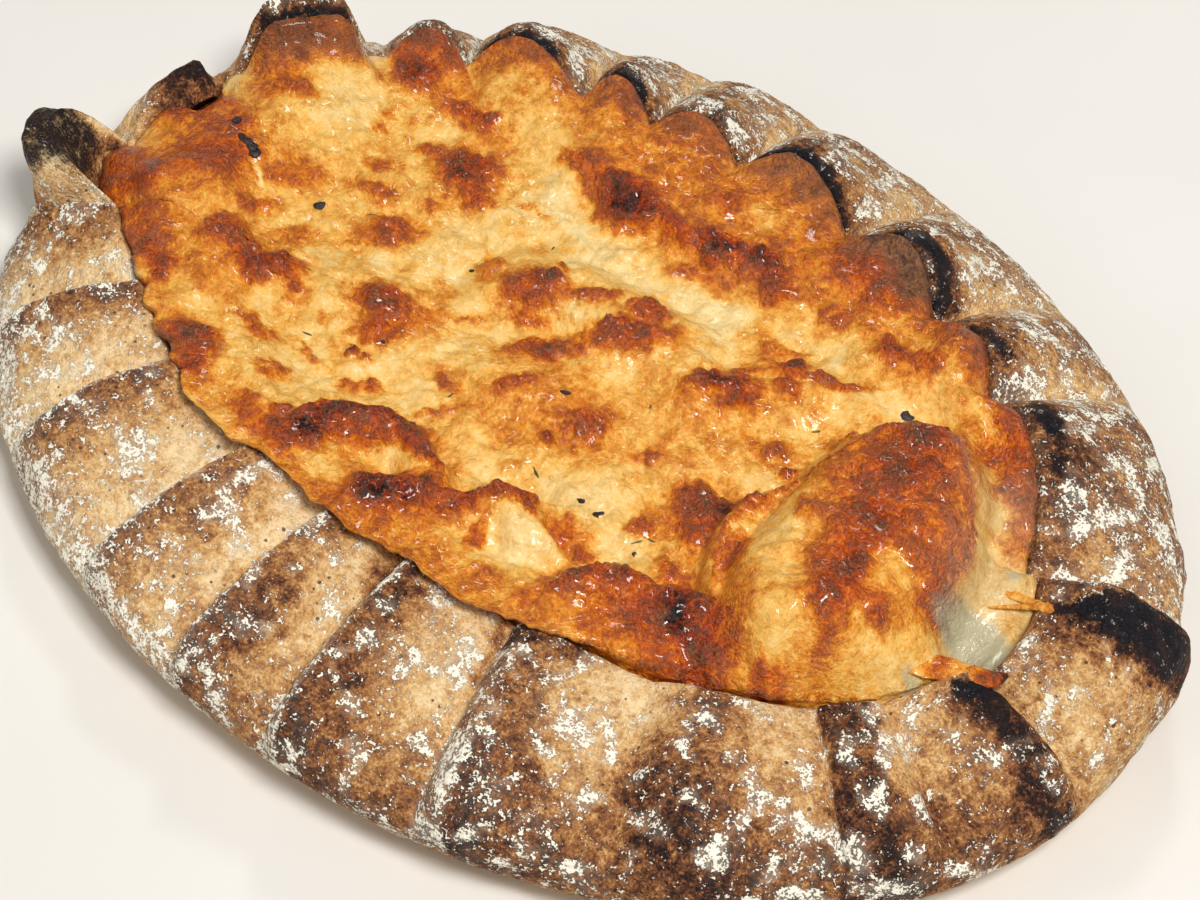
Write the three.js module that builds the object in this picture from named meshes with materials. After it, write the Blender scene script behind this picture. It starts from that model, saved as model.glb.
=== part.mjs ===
// Karelian pasty: a thin rye crust, pleated up all round an oval of browned potato filling.
// Millimetres, +Z up. X runs along the oval and Y across it, and the origin lies on the
// underside, below the middle. Angles are in degrees, counter-clockwise seen from above,
// from the right end (+X) by the back (+Y) and the left end (-X) to the front (-Y).
import * as THREE from "three";

// Crust: the oval outline, and sizes that change from side to side
const OVAL_LENGTH = 130;
const OVAL_WIDTH = 96.4;
const WAIST_HEIGHT = { right: 6.5, back: 5.5, left: 5, front: 7.5 }; // the crust's widest line
const FOOT_INSET = { right: 8.5, back: 8, left: 7, front: 11 }; // from there in to the flat underside
const RIM_INSET = { right: 15, back: 15.5, left: 8.8, front: 21.4 }; // rim line, in from the outline
const RIM_HEIGHT = { right: 13.6, back: 14, left: 13.2, front: 14.2 }; // rim line, above the table
const FULLNESS = { right: 0.85, back: 0.5, left: 0.15, front: 1 }; // wall: 0 straight, 1 a full round
const TUCK = { depth: 3.4, angle: 160, power: 6 }; // where the outline is pushed in at the left end
const DOUGH = 2.2; // thickness of the rolled dough
const NOSE = 0.7; // how far the rounded edge of the dough stands in from the rim line

// Pleats. Each has a start angle, the phase of its ridge between its own crease and the next,
// how far its crest stands up and out from the rim line, its ridge's height on the wall, and
// the height of the solid knob of dough, if any, that it ends in at the rim.
const PLEATS = [
  { start: 356, peak: 0.82, up: 1.6, out: 0.6, ridge: 5.8, knob: 0 },
  { start: 19.5, peak: 0.8, up: 2.2, out: 1.6, ridge: 1.8, knob: 0 },
  { start: 51.5, peak: 0.52, up: 2.2, out: 1.8, ridge: 1.3, knob: 0 },
  { start: 65, peak: 0.55, up: 3.2, out: 2.4, ridge: 1.4, knob: 0 },
  { start: 80, peak: 0.6, up: 3.2, out: 2.6, ridge: 1.5, knob: 0 },
  { start: 95.5, peak: 0.54, up: 2.6, out: 1.8, ridge: 1.3, knob: 0 },
  { start: 107, peak: 0.55, up: 2.8, out: 2, ridge: 1, knob: 0 },
  { start: 116, peak: 0.55, up: 3.2, out: 2.2, ridge: 2.2, knob: 0 },
  { start: 131, peak: 0.45, up: 2.6, out: 1.8, ridge: 1.4, knob: 0 },
  { start: 142, peak: 0.4, up: 5.6, out: 0.6, ridge: 0.8, knob: 1.8 },
  { start: 167, peak: 0.26, up: 2.6, out: 0, ridge: 0.2, knob: 2.2 },
  { start: 187, peak: 0.5, up: 0.4, out: 0.3, ridge: 2.6, knob: 7.2 },
  { start: 200.5, peak: 0.16, up: 0.9, out: 0.2, ridge: 1.2, knob: 0 },
  { start: 216, peak: 0.15, up: 0.5, out: 0.1, ridge: 1.6, knob: 0 },
  { start: 231, peak: 0.14, up: 0.5, out: 0.1, ridge: 1.7, knob: 0 },
  { start: 248, peak: 0.15, up: 0.5, out: 0.1, ridge: 1.8, knob: 0 },
  { start: 261, peak: 0.16, up: 0.4, out: 0.1, ridge: 1.7, knob: 0 },
  { start: 272, peak: 0.15, up: 0.5, out: 0.1, ridge: 1.9, knob: 0 },
  { start: 287, peak: 0.16, up: 0.4, out: 0.1, ridge: 1.7, knob: 0 },
  { start: 305, peak: 0.2, up: 0.4, out: 0.1, ridge: 1.4, knob: 0 },
  { start: 327, peak: 0.4, up: 0.8, out: 0.2, ridge: 1.8, knob: 0 },
  { start: 338, peak: 0.74, up: 1.6, out: 0.4, ridge: 2.4, knob: 0 },
];
const PLEAT_LEAN = 0.8; // how far a ridge leans over its sharper side
const CREST_FROM = 0.5; // share of the wall where a crest starts to rise
const RIM_RELIEF = 0.3; // share of the ridge's height that is left at the rim
const KNOB_SPAN = [0.45, 0.88]; // shares of the wall where a knob starts to swell, and is full
const RISE_STEPS = [0, 0.3, 0.65, 1]; // samples from the crease to the ridge
const FALL_STEPS = [0.28, 0.56, 0.82]; // samples from the ridge to the next crease

// Filling: how it meets the rim, and the level of its baked top
const GAP = 0.35; // clearance between crust and filling
const REACH = { right: 0.12, back: 0.28, left: 0.22, front: 1 }; // 1 spills over the rim, 0 stays inside
const LIP = 1.9; // length of the skin that lies over the rim where the filling spills
const SHOULDER = { out: 0.7, up: 1.2 }; // roundness of that skin's edge
const FILLING_LEVEL = 14.4; // height of the top between its swells
const EDGE_ROUND = 0.82; // share of the way out where the top starts to round down to its edge
const TOP_SHARES = [0.975, 0.94, 0.9, 0.85, 0.79, 0.72, 0.64, 0.55, 0.45, 0.34, 0.22, 0.1];

// Swells and dips of the top: each follows a path in plan, with a half-width and a height.
// A higher power gives a flatter crown with steeper sides.
const FRONT_BORDER = [[-43, -9], [-36, -16.5], [-26, -22.5], [-10, -26], [10, -27], [28, -22.5], [40, -14]];
const SWELLS = [
  { name: "end mound", path: [[34.5, 9], [37, -6]], width: 10.5, height: 7.8, power: 4 },
  { name: "front border", path: FRONT_BORDER, width: 6, height: 2.1, power: 4 },
  { name: "flap, left", path: [[-16, -22], [-12, -19.5], [-3, -18]], width: 3.4, height: 2, power: 3 },
  { name: "flap, middle", path: [[-4.5, -23], [8, -16.8]], width: 3.4, height: 1.7, power: 3 },
  { name: "front ridge, right", path: [[16, -19.5], [33, -16]], width: 4.2, height: 1.7, power: 3 },
  { name: "back shelf", path: [[-24, 30], [24, 29]], width: 10.5, height: 1.8, power: 6 },
  { name: "back shelf, right", path: [[30, 25], [42, 16]], width: 5, height: 2.2, power: 3 },
  { name: "left end", path: [[-45, 10], [-47, -4]], width: 7, height: 1.8, power: 2 },
  { name: "middle lobe", path: [[-12, 5], [-7, 8.5], [5, 10]], width: 4, height: 1.7, power: 3 },
  { name: "gold lobe", path: [[-4, -5], [0, 3]], width: 4.5, height: 1.2, power: 2 },
  { name: "brown ridge", path: [[9.5, 6], [22, 15.5]], width: 3, height: 1.6, power: 2 },
  { name: "left lump", path: [[-33, -9], [-19, -5]], width: 4.5, height: 1.1, power: 2 },
  { name: "back trough", path: [[-25, 20], [-9, 15.5], [5, 15.5]], width: 3.5, height: -0.8, power: 2 },
  { name: "open end", path: [[45.5, 9], [48.5, 1]], width: 4, height: -4, power: 2 },
];

// Base colours and finish
const CRUST_LOOK = { color: 0xb98a5c, roughness: 0.85, metalness: 0 };
const FILLING_LOOK = { color: 0xe0a04a, roughness: 0.4, metalness: 0 };

const { cos, sin, hypot, sqrt, acos, exp, max, PI } = Math;
const QUARTER = PI / 2;
const { degToRad, lerp, smoothstep, clamp } = THREE.MathUtils;

// A value that is given for the four sides, at an angle between them.
function bySide(angle, sides) {
  const end = cos(angle) > 0 ? sides.right : sides.left;
  const side = sin(angle) > 0 ? sides.back : sides.front;
  return lerp(side, end, cos(angle) ** 2);
}

// One column runs from the underside's middle over the rim and back, at one angle.
function makeColumn(pleat, next, phase, ridge) {
  const sweep = (next.start - pleat.start + 360) % 360;
  const angle = degToRad(pleat.start + phase * sweep);
  const facing = max(0, cos(angle - degToRad(TUCK.angle)));
  return {
    angle,
    pleat,
    ridge,
    tuck: TUCK.depth * facing ** TUCK.power,
    waist: bySide(angle, WAIST_HEIGHT),
    foot: bySide(angle, FOOT_INSET),
    rimInset: bySide(angle, RIM_INSET),
    rimHeight: bySide(angle, RIM_HEIGHT),
    fullness: bySide(angle, FULLNESS),
    reach: bySide(angle, REACH),
    lean: PLEAT_LEAN * (pleat.peak < 0.5 ? -1 : 1),
  };
}

// A pleat's columns: its ridge climbs from the crease to the peak, and falls to the next crease.
const COLUMNS = PLEATS.flatMap((pleat, index) => {
  const next = PLEATS[(index + 1) % PLEATS.length];
  const climbing = RISE_STEPS.map((s) => makeColumn(pleat, next, s * pleat.peak, sin(s * QUARTER)));
  const falling = FALL_STEPS.map((s) =>
    makeColumn(pleat, next, lerp(pleat.peak, 1, s), cos(s * QUARTER) ** 1.1),
  );
  return [...climbing, ...falling];
});

// A point of a column, this far inside the oval outline and this high, slid along the outline.
function place(column, { inset, height, slide }) {
  const { angle } = column;
  const outward = new THREE.Vector2(cos(angle) / OVAL_LENGTH, sin(angle) / OVAL_WIDTH).normalize();
  const x = (OVAL_LENGTH / 2) * cos(angle) - inset * outward.x - slide * outward.y;
  const y = (OVAL_WIDTH / 2) * sin(angle) - inset * outward.y + slide * outward.x;
  return new THREE.Vector3(x, y, height);
}

// The rounded foot from the underside (turn 0) to the waist (a quarter turn), inside the skin by depth.
function footPoint(column, turn, depth) {
  return {
    inset: column.tuck + depth + column.foot * (1 - sin(turn)),
    height: depth + (column.waist - depth) * (1 - cos(turn)),
    slide: 0,
  };
}

// The wall from the waist (turn 0) to the rim line (a quarter turn), inside the skin by depth,
// with the raised crests but without the ridges.
function wallPoint(column, turn, depth) {
  const { tuck, waist, rimInset, rimHeight, fullness, pleat } = column;
  const share = turn / QUARTER;
  const lift = column.ridge * smoothstep(share, CREST_FROM, 1);
  const run = (rimInset - tuck) * lerp(1 / QUARTER, sin(turn), fullness);
  const climb = (rimHeight - waist) * lerp(1 / QUARTER, cos(turn), fullness);
  const slope = hypot(run, climb);
  const inset = lerp(tuck, rimInset, lerp(share, 1 - cos(turn), fullness));
  const height = lerp(waist, rimHeight, lerp(share, sin(turn), fullness));
  return {
    inset: inset + (depth * climb) / slope - pleat.out * lift,
    height: height - (depth * run) / slope + pleat.up * lift,
    slide: 0,
  };
}

// The outer skin of the wall, with its ridges, pushed out by a clearance.
function skinPoint(column, turn, clearance = 0) {
  const share = turn / QUARTER;
  const fading = lerp(1, RIM_RELIEF, smoothstep(share, 0.65, 1));
  const ridge = column.ridge * smoothstep(share, -0.1, 0.45) * fading;
  const knob = sqrt(column.ridge) * smoothstep(share, ...KNOB_SPAN);
  const out = column.pleat.ridge * ridge + column.pleat.knob * knob;
  const skin = wallPoint(column, turn, -out - clearance);
  return { ...skin, slide: column.lean * ridge };
}

// The rounded inner edge of the dough at the rim, pushed in by a clearance.
function nosePoint(column, share, clearance = 0) {
  const outer = skinPoint(column, QUARTER);
  const inner = wallPoint(column, QUARTER, DOUGH);
  return {
    inset: lerp(outer.inset, inner.inset, share) + NOSE * sin(share * PI) + clearance,
    height: lerp(outer.height, inner.height, share),
    slide: lerp(outer.slide, inner.slide, share),
  };
}

// Place at parameter t along a list of points, one whole unit from each to the next.
function along(points, t) {
  const from = Math.min(Math.floor(t), points.length - 2);
  const mix = (key) => lerp(points[from][key], points[from + 1][key], t - from);
  return { inset: mix("inset"), height: mix("height"), slide: mix("slide") };
}

// The filling's way out of the crust: up past the dough's edge, then over the rim. It stays
// below the knobs.
function spillPath(column) {
  const rim = { ...column, pleat: { ...column.pleat, knob: 0 } };
  const corner = nosePoint(rim, 0.1, GAP);
  corner.height += GAP;
  const overRim = (length) => skinPoint(rim, acos(length / rim.rimInset), GAP);
  return [nosePoint(rim, 0.6, GAP), corner, overRim(LIP / 2), overRim(LIP)];
}

// Distance in plan from a place to the straight run between two points.
function distanceToRun(x, y, [fromX, fromY], [toX, toY]) {
  const runX = toX - fromX;
  const runY = toY - fromY;
  const share = ((x - fromX) * runX + (y - fromY) * runY) / (runX * runX + runY * runY);
  const nearest = clamp(share, 0, 1);
  return hypot(x - fromX - nearest * runX, y - fromY - nearest * runY);
}

// Height of the filling's top at a place in plan.
function topHeight(x, y) {
  return SWELLS.reduce((total, { path, width, height, power }) => {
    const runs = path.slice(1).map((to, i) => distanceToRun(x, y, path[i], to));
    return total + height * exp(-((Math.min(...runs) / width) ** power));
  }, FILLING_LEVEL);
}

// Evenly spaced turns from one angle to another, both included.
function turns(from, to, count) {
  return Array.from({ length: count }, (_, i) => lerp(from, to, i / (count - 1)));
}

// A closed geometry from rings of equally many points, fanned shut at both ends. From the
// ring numbered lining on, the quads are split the other way, to lie along the filling's.
function closedRings(rings, firstCentre, lastCentre, lining = rings.length) {
  const around = rings[0].length;
  const points = [...rings.flat(), firstCentre, lastCentre];
  const first = rings.length * around;
  const index = [];
  for (let c = 0; c < around; c++) {
    const n = (c + 1) % around;
    index.push(first, n, c);
    for (let r = 0; r + 1 < rings.length; r++) {
      const low = r * around;
      const high = low + around;
      if (r < lining) index.push(low + c, low + n, high + c, low + n, high + n, high + c);
      else index.push(low + c, low + n, high + n, low + c, high + n, high + c);
    }
    const top = (rings.length - 1) * around;
    index.push(first + 1, top + c, top + n);
  }
  const geometry = new THREE.BufferGeometry().setFromPoints(points);
  geometry.setIndex(index);
  geometry.computeVertexNormals();
  return geometry;
}

const ringOf = (pointOf) => COLUMNS.map((column) => place(column, pointOf(column)));

function crustGeometry() {
  const underside = turns(0, QUARTER, 4);
  const wall = turns(0, QUARTER, 9).slice(1);
  const lining = turns(QUARTER, 0, 4).slice(0, -1);
  const floor = turns(QUARTER, 0, 3);
  const outside = [
    ...underside.map((turn) => ringOf((column) => footPoint(column, turn, 0))),
    ...wall.map((turn) => ringOf((column) => skinPoint(column, turn))),
    ringOf((column) => nosePoint(column, 0.5)),
  ];
  const inside = [
    ...lining.map((turn) => ringOf((column) => wallPoint(column, turn, DOUGH))),
    ...floor.map((turn) => ringOf((column) => footPoint(column, turn, DOUGH))),
  ];
  const middle = new THREE.Vector3(0, 0, DOUGH);
  return closedRings([...outside, ...inside], new THREE.Vector3(), middle, outside.length);
}

// The rounded edge of the filling, just above where it leaves the crust.
function shoulderPoint(column) {
  const edge = along(spillPath(column), 3 * column.reach);
  const spill = smoothstep(column.reach, 0.3, 1);
  return {
    inset: edge.inset + lerp(0.5, -SHOULDER.out, spill),
    height: edge.height + SHOULDER.up * lerp(0.35, 1, spill),
    slide: edge.slide,
  };
}

// One ring of the baked top, at a share of the way from the middle to the edge ring.
function topRing(edgeRing, share) {
  const rounding = max(0, (share - EDGE_ROUND) / (1 - EDGE_ROUND));
  const rise = sqrt(1 - rounding * rounding);
  return edgeRing.map((edge) => {
    const x = edge.x * share;
    const y = edge.y * share;
    return new THREE.Vector3(x, y, lerp(edge.z, topHeight(x, y), rise));
  });
}

function fillingGeometry() {
  const depth = DOUGH + GAP;
  const floor = turns(0, QUARTER, 3);
  const sides = turns(0, QUARTER, 4).slice(1);
  const shoulder = ringOf(shoulderPoint);
  const rings = [
    ...floor.map((turn) => ringOf((column) => footPoint(column, turn, depth))),
    ...sides.map((turn) => ringOf((column) => wallPoint(column, turn, depth))),
    ...[0, 1, 2, 3].map((step) => ringOf((column) => along(spillPath(column), step * column.reach))),
    shoulder,
    ...TOP_SHARES.map((share) => topRing(shoulder, share)),
  ];
  return closedRings(rings, new THREE.Vector3(0, 0, depth), new THREE.Vector3(0, 0, topHeight(0, 0)));
}

function named(name, geometry, look) {
  const mesh = new THREE.Mesh(geometry, new THREE.MeshStandardMaterial(look));
  mesh.name = name;
  return mesh;
}

const pasty = new THREE.Group();
pasty.add(named("crust", crustGeometry(), CRUST_LOOK));
pasty.add(named("filling", fillingGeometry(), FILLING_LOOK));

// The oval's own middle is not the middle of the whole, because its left end is tucked in.
const middle = new THREE.Box3().setFromObject(pasty).getCenter(new THREE.Vector3());
pasty.position.set(-middle.x, -middle.y, 0);

export default pasty;
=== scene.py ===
"""A karelian pasty: a pleated rye crust, floury and burnt at its crests, round a browned potato filling.

Sizes are in millimetres and angles in degrees unless a name says otherwise. Angles run
counter-clockwise seen from above, from the right end (+X) by the back (+Y) to the left end (-X)
and the front (-Y). Meshes are made in millimetres about the oval's middle and leave in metres.
"""

import logging
import math
from dataclasses import dataclass, field, replace
from enum import Enum
from typing import Any, Mapping, Sequence, Union

import bpy
import numpy as np
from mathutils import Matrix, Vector, noise


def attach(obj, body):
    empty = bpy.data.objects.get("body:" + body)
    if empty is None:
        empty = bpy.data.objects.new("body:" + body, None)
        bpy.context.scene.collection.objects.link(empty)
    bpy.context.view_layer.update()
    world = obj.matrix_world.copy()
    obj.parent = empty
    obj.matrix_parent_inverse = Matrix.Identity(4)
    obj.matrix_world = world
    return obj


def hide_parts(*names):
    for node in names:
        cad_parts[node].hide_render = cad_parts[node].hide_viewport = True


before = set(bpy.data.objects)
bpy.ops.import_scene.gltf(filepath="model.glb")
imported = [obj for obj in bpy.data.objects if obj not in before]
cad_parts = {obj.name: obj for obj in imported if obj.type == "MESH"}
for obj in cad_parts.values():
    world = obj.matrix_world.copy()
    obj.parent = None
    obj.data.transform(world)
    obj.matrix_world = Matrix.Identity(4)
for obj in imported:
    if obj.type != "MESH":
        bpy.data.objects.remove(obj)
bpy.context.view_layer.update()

LOG = logging.getLogger("pasty")
MM = 0.001
QUARTER = math.pi / 2
ROUND = 2.0 * math.pi
NOISE_SPREAD = 3.2  # brings a noise texture's values, less a half, to about -1 to 1
SEED_STEP = 17.3  # how far apart, in lumps, the patterns of two seeds lie
BODY = "root"
OVAL_MIDDLE = (-1.192, 0.032)  # the oval's middle, from the middle of the whole

Rgba = tuple[float, float, float, float]
Place = tuple[float, float, float]
Span = tuple[float, float]


class Slot(Enum):
    """Names of the material slots."""

    CRUST = "rye_crust"
    FILLING = "baked_filling"


class Mark(Enum):
    """Names of the values that a surface keeps at its points for its finish."""

    TOAST = "toast"
    BURN = "burn"
    FLOUR = "flour"
    SKIN = "skin"
    TONE = "tone"
    WET = "wet"
    DRY = "dry"


def lerp(low: Any, high: Any, share: Any) -> Any:
    """The value at a share of the way from low to high."""
    return low + (high - low) * share


def smoothstep(value: Any, low: Any, high: Any) -> Any:
    """0 below low, 1 above high, and a smooth climb between them."""
    t = np.clip((value - low) / (high - low), 0.0, 1.0)
    return t * t * (3.0 - 2.0 * t)


def window(value: Any, rise: Span, fall: Span) -> Any:
    """A smooth climb to 1 over the first span, and back to 0 over the second."""
    return smoothstep(value, *rise) * (1.0 - smoothstep(value, *fall))


def bump(distance: Any, width: float, power: float = 2.0) -> Any:
    """1 at no distance, falling off round a half-width."""
    return np.exp(-((np.abs(distance) / width) ** power))


def turned_by(angle: Any, centre: float) -> Any:
    """Signed degrees from a centre to angles in radians, the short way round."""
    return (np.degrees(angle) - centre + 180.0) % 360.0 - 180.0


def linear(red: int, green: int, blue: int) -> Rgba:
    """A colour on the usual 0 to 255 scale, as linear light.

    Args:
        red: Red, 0 to 255.
        green: Green, 0 to 255.
        blue: Blue, 0 to 255.

    Returns:
        The colour for a shader, opaque.
    """
    shares = [c / 255.0 for c in (red, green, blue)]
    light = [s / 12.92 if s <= 0.04045 else ((s + 0.055) / 1.055) ** 2.4 for s in shares]
    return (light[0], light[1], light[2], 1.0)


@dataclass(frozen=True)
class Unevenness:
    """A smooth random pattern in space: its largest lumps' size, finer layers, seed and strength."""

    size: float
    octaves: int
    seed: float
    strength: float = 1.0

    def at(self, points: np.ndarray) -> np.ndarray:
        """Values about 0, up to about its strength, over points in space.

        Args:
            points: Places in millimetres, with X, Y and Z last.

        Returns:
            One value for each place, in the same layout.
        """
        flat = points.reshape(-1, 3) / self.size + self.seed * SEED_STEP
        values = [noise.fractal(p, 1.0, 2.0, self.octaves) for p in flat.tolist()]
        return np.array(values).reshape(points.shape[:-1]) * self.strength


def in_plan(x: np.ndarray, y: np.ndarray) -> np.ndarray:
    """Places in plan as points, with no height."""
    return np.stack([x, y, np.zeros_like(x)], -1)


# Graphs of nodes

Input = Union[float, int, str, tuple, "Signal", bpy.types.ID]
Inputs = Mapping[Union[int, str], Input]
Stops = Sequence[tuple[float, Rgba]]


class Signal:
    """An output of a node, with arithmetic that adds Math nodes to its graph."""

    def __init__(self, graph: "Graph", socket: bpy.types.NodeSocket) -> None:
        """Keeps the graph and the socket."""
        self.graph = graph
        self.socket = socket

    def _math(self, operation: str, *values: Input) -> "Signal":
        """A Math node on these values."""
        return self.graph.node("ShaderNodeMath", {"operation": operation}, dict(enumerate(values)))

    def __add__(self, other: Input) -> "Signal":
        """Sum."""
        return self._math("ADD", self, other)

    __radd__ = __add__

    def __sub__(self, other: Input) -> "Signal":
        """Difference."""
        return self._math("SUBTRACT", self, other)

    def __rsub__(self, other: Input) -> "Signal":
        """Difference, from the other value."""
        return self._math("SUBTRACT", other, self)

    def __mul__(self, other: Input) -> "Signal":
        """Product."""
        return self._math("MULTIPLY", self, other)

    __rmul__ = __mul__

    def __pow__(self, other: Input) -> "Signal":
        """Power."""
        return self._math("POWER", self, other)

    def most(self, other: Input) -> "Signal":
        """The larger of two values."""
        return self._math("MAXIMUM", self, other)

    def least(self, other: Input) -> "Signal":
        """The smaller of two values."""
        return self._math("MINIMUM", self, other)

    def step(self, low: float, high: float) -> "Signal":
        """0 below low, 1 above high, smooth between."""
        settings = {"interpolation_type": "SMOOTHSTEP"}
        return self.graph.node("ShaderNodeMapRange", settings, {0: self, 1: low, 2: high})

    def other(self, name: str) -> "Signal":
        """Another output of the same node."""
        return Signal(self.graph, self.socket.node.outputs[name])


class Graph:
    """A node tree that is written as expressions."""

    def __init__(self, tree: bpy.types.NodeTree) -> None:
        """Starts from an empty tree."""
        self.tree = tree
        tree.nodes.clear()

    def add(self, kind: str, settings: Mapping[str, Any], inputs: Inputs) -> bpy.types.Node:
        """Adds a node.

        Args:
            kind: The node's type.
            settings: Its properties, set first; stops are a colour ramp's positions and colours.
            inputs: Values or links of its sockets, by name or number.

        Returns:
            The node.
        """
        made = self.tree.nodes.new(kind)
        for key, value in settings.items():
            if key == "stops":
                self._set_stops(made.color_ramp, value)
            else:
                setattr(made, key, value)
        for key, value in inputs.items():
            if isinstance(value, Signal):
                self.tree.links.new(value.socket, made.inputs[key])
            else:
                made.inputs[key].default_value = value
        return made

    def node(
        self, kind: str, settings: Mapping[str, Any], inputs: Inputs, output: Union[int, str] = 0
    ) -> Signal:
        """One output of a new node."""
        return Signal(self, self.add(kind, settings, inputs).outputs[output])

    @staticmethod
    def _set_stops(ramp: bpy.types.ColorRamp, stops: Stops) -> None:
        """Gives a colour ramp its stops.

        Args:
            ramp: The ramp.
            stops: Positions and colours, in order.
        """
        while len(ramp.elements) > 1:
            ramp.elements.remove(ramp.elements[-1])
        for index, (position, colour) in enumerate(stops):
            element = ramp.elements[0] if index == 0 else ramp.elements.new(position)
            element.position = position
            element.color = colour


class ShaderGraph(Graph):
    """The nodes of one material, on Object coordinates."""

    def __init__(self, name: str) -> None:
        """Makes the material and its coordinates.

        Args:
            name: The material's name.
        """
        self.material = bpy.data.materials.new(name)
        self.material.use_nodes = True
        super().__init__(self.material.node_tree)
        self.place = self.node("ShaderNodeTexCoord", {}, {}, "Object")

    def mark(self, mark: Mark) -> Signal:
        """A value that the surface keeps at its points."""
        return self.node("ShaderNodeAttribute", {"attribute_name": mark.value}, {}, "Fac")

    def noise(self, size: float, detail: float = 3.0, rough: float = 0.55, twist: float = 0.0) -> Signal:
        """Random values, about -1 to 1, over the surface.

        Args:
            size: Size of the largest lumps, in millimetres.
            detail: How many finer layers are added.
            rough: How strong the finer layers are.
            twist: How far the pattern is pulled about.

        Returns:
            The values.
        """
        inputs = {"Vector": self.place, "Scale": 1.0 / (size * MM), "Detail": detail}
        inputs.update({"Roughness": rough, "Distortion": twist})
        return (self.node("ShaderNodeTexNoise", {}, inputs, "Fac") - 0.5) * NOISE_SPREAD

    def grains(self, size: float, share: float, radius: float, stray: Input) -> Signal:
        """Grains, one to a cell.

        Args:
            size: Size of the cells, in millimetres.
            share: Which share of the cells has a grain.
            radius: Radius of the grains, in cells.
            stray: Values that make their borders uneven.

        Returns:
            0 between the grains to 1 on them.
        """
        inputs = {"Vector": self.place, "Scale": 1.0 / (size * MM)}
        away = self.node("ShaderNodeTexVoronoi", {"feature": "F1"}, inputs, "Distance")
        chosen = (share - away.other("Color")).step(-0.04, 0.04)
        return (1.0 - (away + stray).step(radius * 0.6, radius)) * chosen

    def ramp(self, value: Signal, stops: Stops) -> Signal:
        """A colour by value."""
        return self.node("ShaderNodeValToRGB", {"stops": stops}, {"Fac": value}, "Color")

    def mix(self, share: Signal, low: Input, high: Input) -> Signal:
        """A colour between two others."""
        return self.node("ShaderNodeMix", {"data_type": "RGBA"}, {0: share, 6: low, 7: high}, 2)

    def bump(self, height: Signal, depth: float) -> Signal:
        """A normal with relief of this depth in millimetres for a height from 0 to 1."""
        inputs = {"Height": height, "Distance": depth * MM, "Strength": 1.0}
        return self.node("ShaderNodeBump", {}, inputs, "Normal")

    def finish(self, inputs: Inputs) -> bpy.types.Material:
        """Ends the graph in a Principled shader.

        Args:
            inputs: Values or links of the shader's sockets.

        Returns:
            The finished material.
        """
        shader = self.node("ShaderNodeBsdfPrincipled", {}, inputs, "BSDF")
        self.add("ShaderNodeOutputMaterial", {}, {"Surface": shader})
        return self.material


# Finishes


@dataclass(frozen=True)
class RyeCrustFinish:
    """Baked rye dough: cream to dark brown by its toast, black where burnt, dusted with flour.

    Sizes of patterns and the relief are in millimetres. The flour's specks are noises of a size,
    detail, roughness and share each.
    """

    stops: Stops = (
        (0.0, linear(244, 215, 166)),
        (0.2, linear(216, 170, 110)),
        (0.4, linear(174, 121, 72)),
        (0.58, linear(133, 84, 51)),
        (0.76, linear(90, 55, 39)),
        (1.0, linear(38, 26, 24)),
    )
    char: Rgba = linear(14, 17, 24)
    scab: Rgba = linear(56, 37, 34)
    ash: Rgba = linear(128, 122, 112)
    flour: Rgba = linear(255, 248, 228)
    haze: Rgba = linear(214, 204, 186)
    bran: Rgba = linear(52, 38, 36)
    fine: float = 0.3
    grain: float = 0.9
    blotch: float = 2.8
    large_bran: float = 0.9
    small_bran: float = 0.5
    specks: tuple[tuple[float, float, float, float], ...] = (
        (0.24, 1.0, 0.6, 0.25),
        (0.48, 2.0, 0.6, 0.45),
        (1.1, 2.0, 0.5, 0.35),
    )
    most_flour: float = 0.66
    relief: float = 0.5
    roughness: float = 0.84
    specular: float = 0.15

    def make(self) -> bpy.types.Material:
        """The material.

        Returns:
            A material that reads the crust's marks.
        """
        g = ShaderGraph("rye_crust_finish")
        fine = g.noise(self.fine, 2.0, 0.7)
        grainy = g.noise(self.grain, 3.0, 0.65)
        patchy = g.noise(self.blotch, 4.0, 0.65, 0.8)
        baked = g.mark(Mark.TOAST)
        toast = baked + (patchy * 0.28 + grainy * 0.32 + fine * 0.3) * (0.45 + baked)
        dough = g.ramp(toast, self.stops)
        bran = g.grains(self.large_bran, 0.22, 0.26, grainy * 0.12)
        bran = bran.most(g.grains(self.small_bran, 0.1, 0.34, fine * 0.1))
        dough = g.mix(bran * 0.85, dough, self.bran)
        burn = (g.mark(Mark.BURN) + grainy * 0.22 + patchy * 0.14 + fine * 0.16).step(0.3, 0.9)
        burnt = g.mix((patchy * 0.7 + grainy * 0.5).step(-0.3, 0.9), self.char, self.scab)
        burnt = g.mix((fine * 0.8 + grainy * 0.6).step(0.4, 1.1) * 0.7, burnt, self.ash)
        dough = g.mix(burn, dough, burnt)
        dust = g.mark(Mark.FLOUR)
        cover = (dust + grainy * 0.2 + patchy * 0.16).least(self.most_flour)
        speck = sum(g.noise(size, detail, rough) * share for size, detail, rough, share in self.specks)
        flour = (cover + speck).step(0.52, 0.66) * (1.0 - burn * 0.6)
        haze = (dust + patchy * 0.16 + fine * 0.1).step(0.2, 0.8) * 0.3
        colour = g.mix(flour, g.mix(haze, dough, self.haze), self.flour)
        height = fine * 0.16 + grainy * 0.26 + patchy * 0.25 + flour * 0.26 + burn * 0.3
        return g.finish(
            {
                "Base Color": colour,
                "Roughness": self.roughness - burn * (1.0 - flour) * 0.36,
                "Specular IOR Level": self.specular,
                "Normal": g.bump(height, self.relief),
            }
        )


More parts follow.
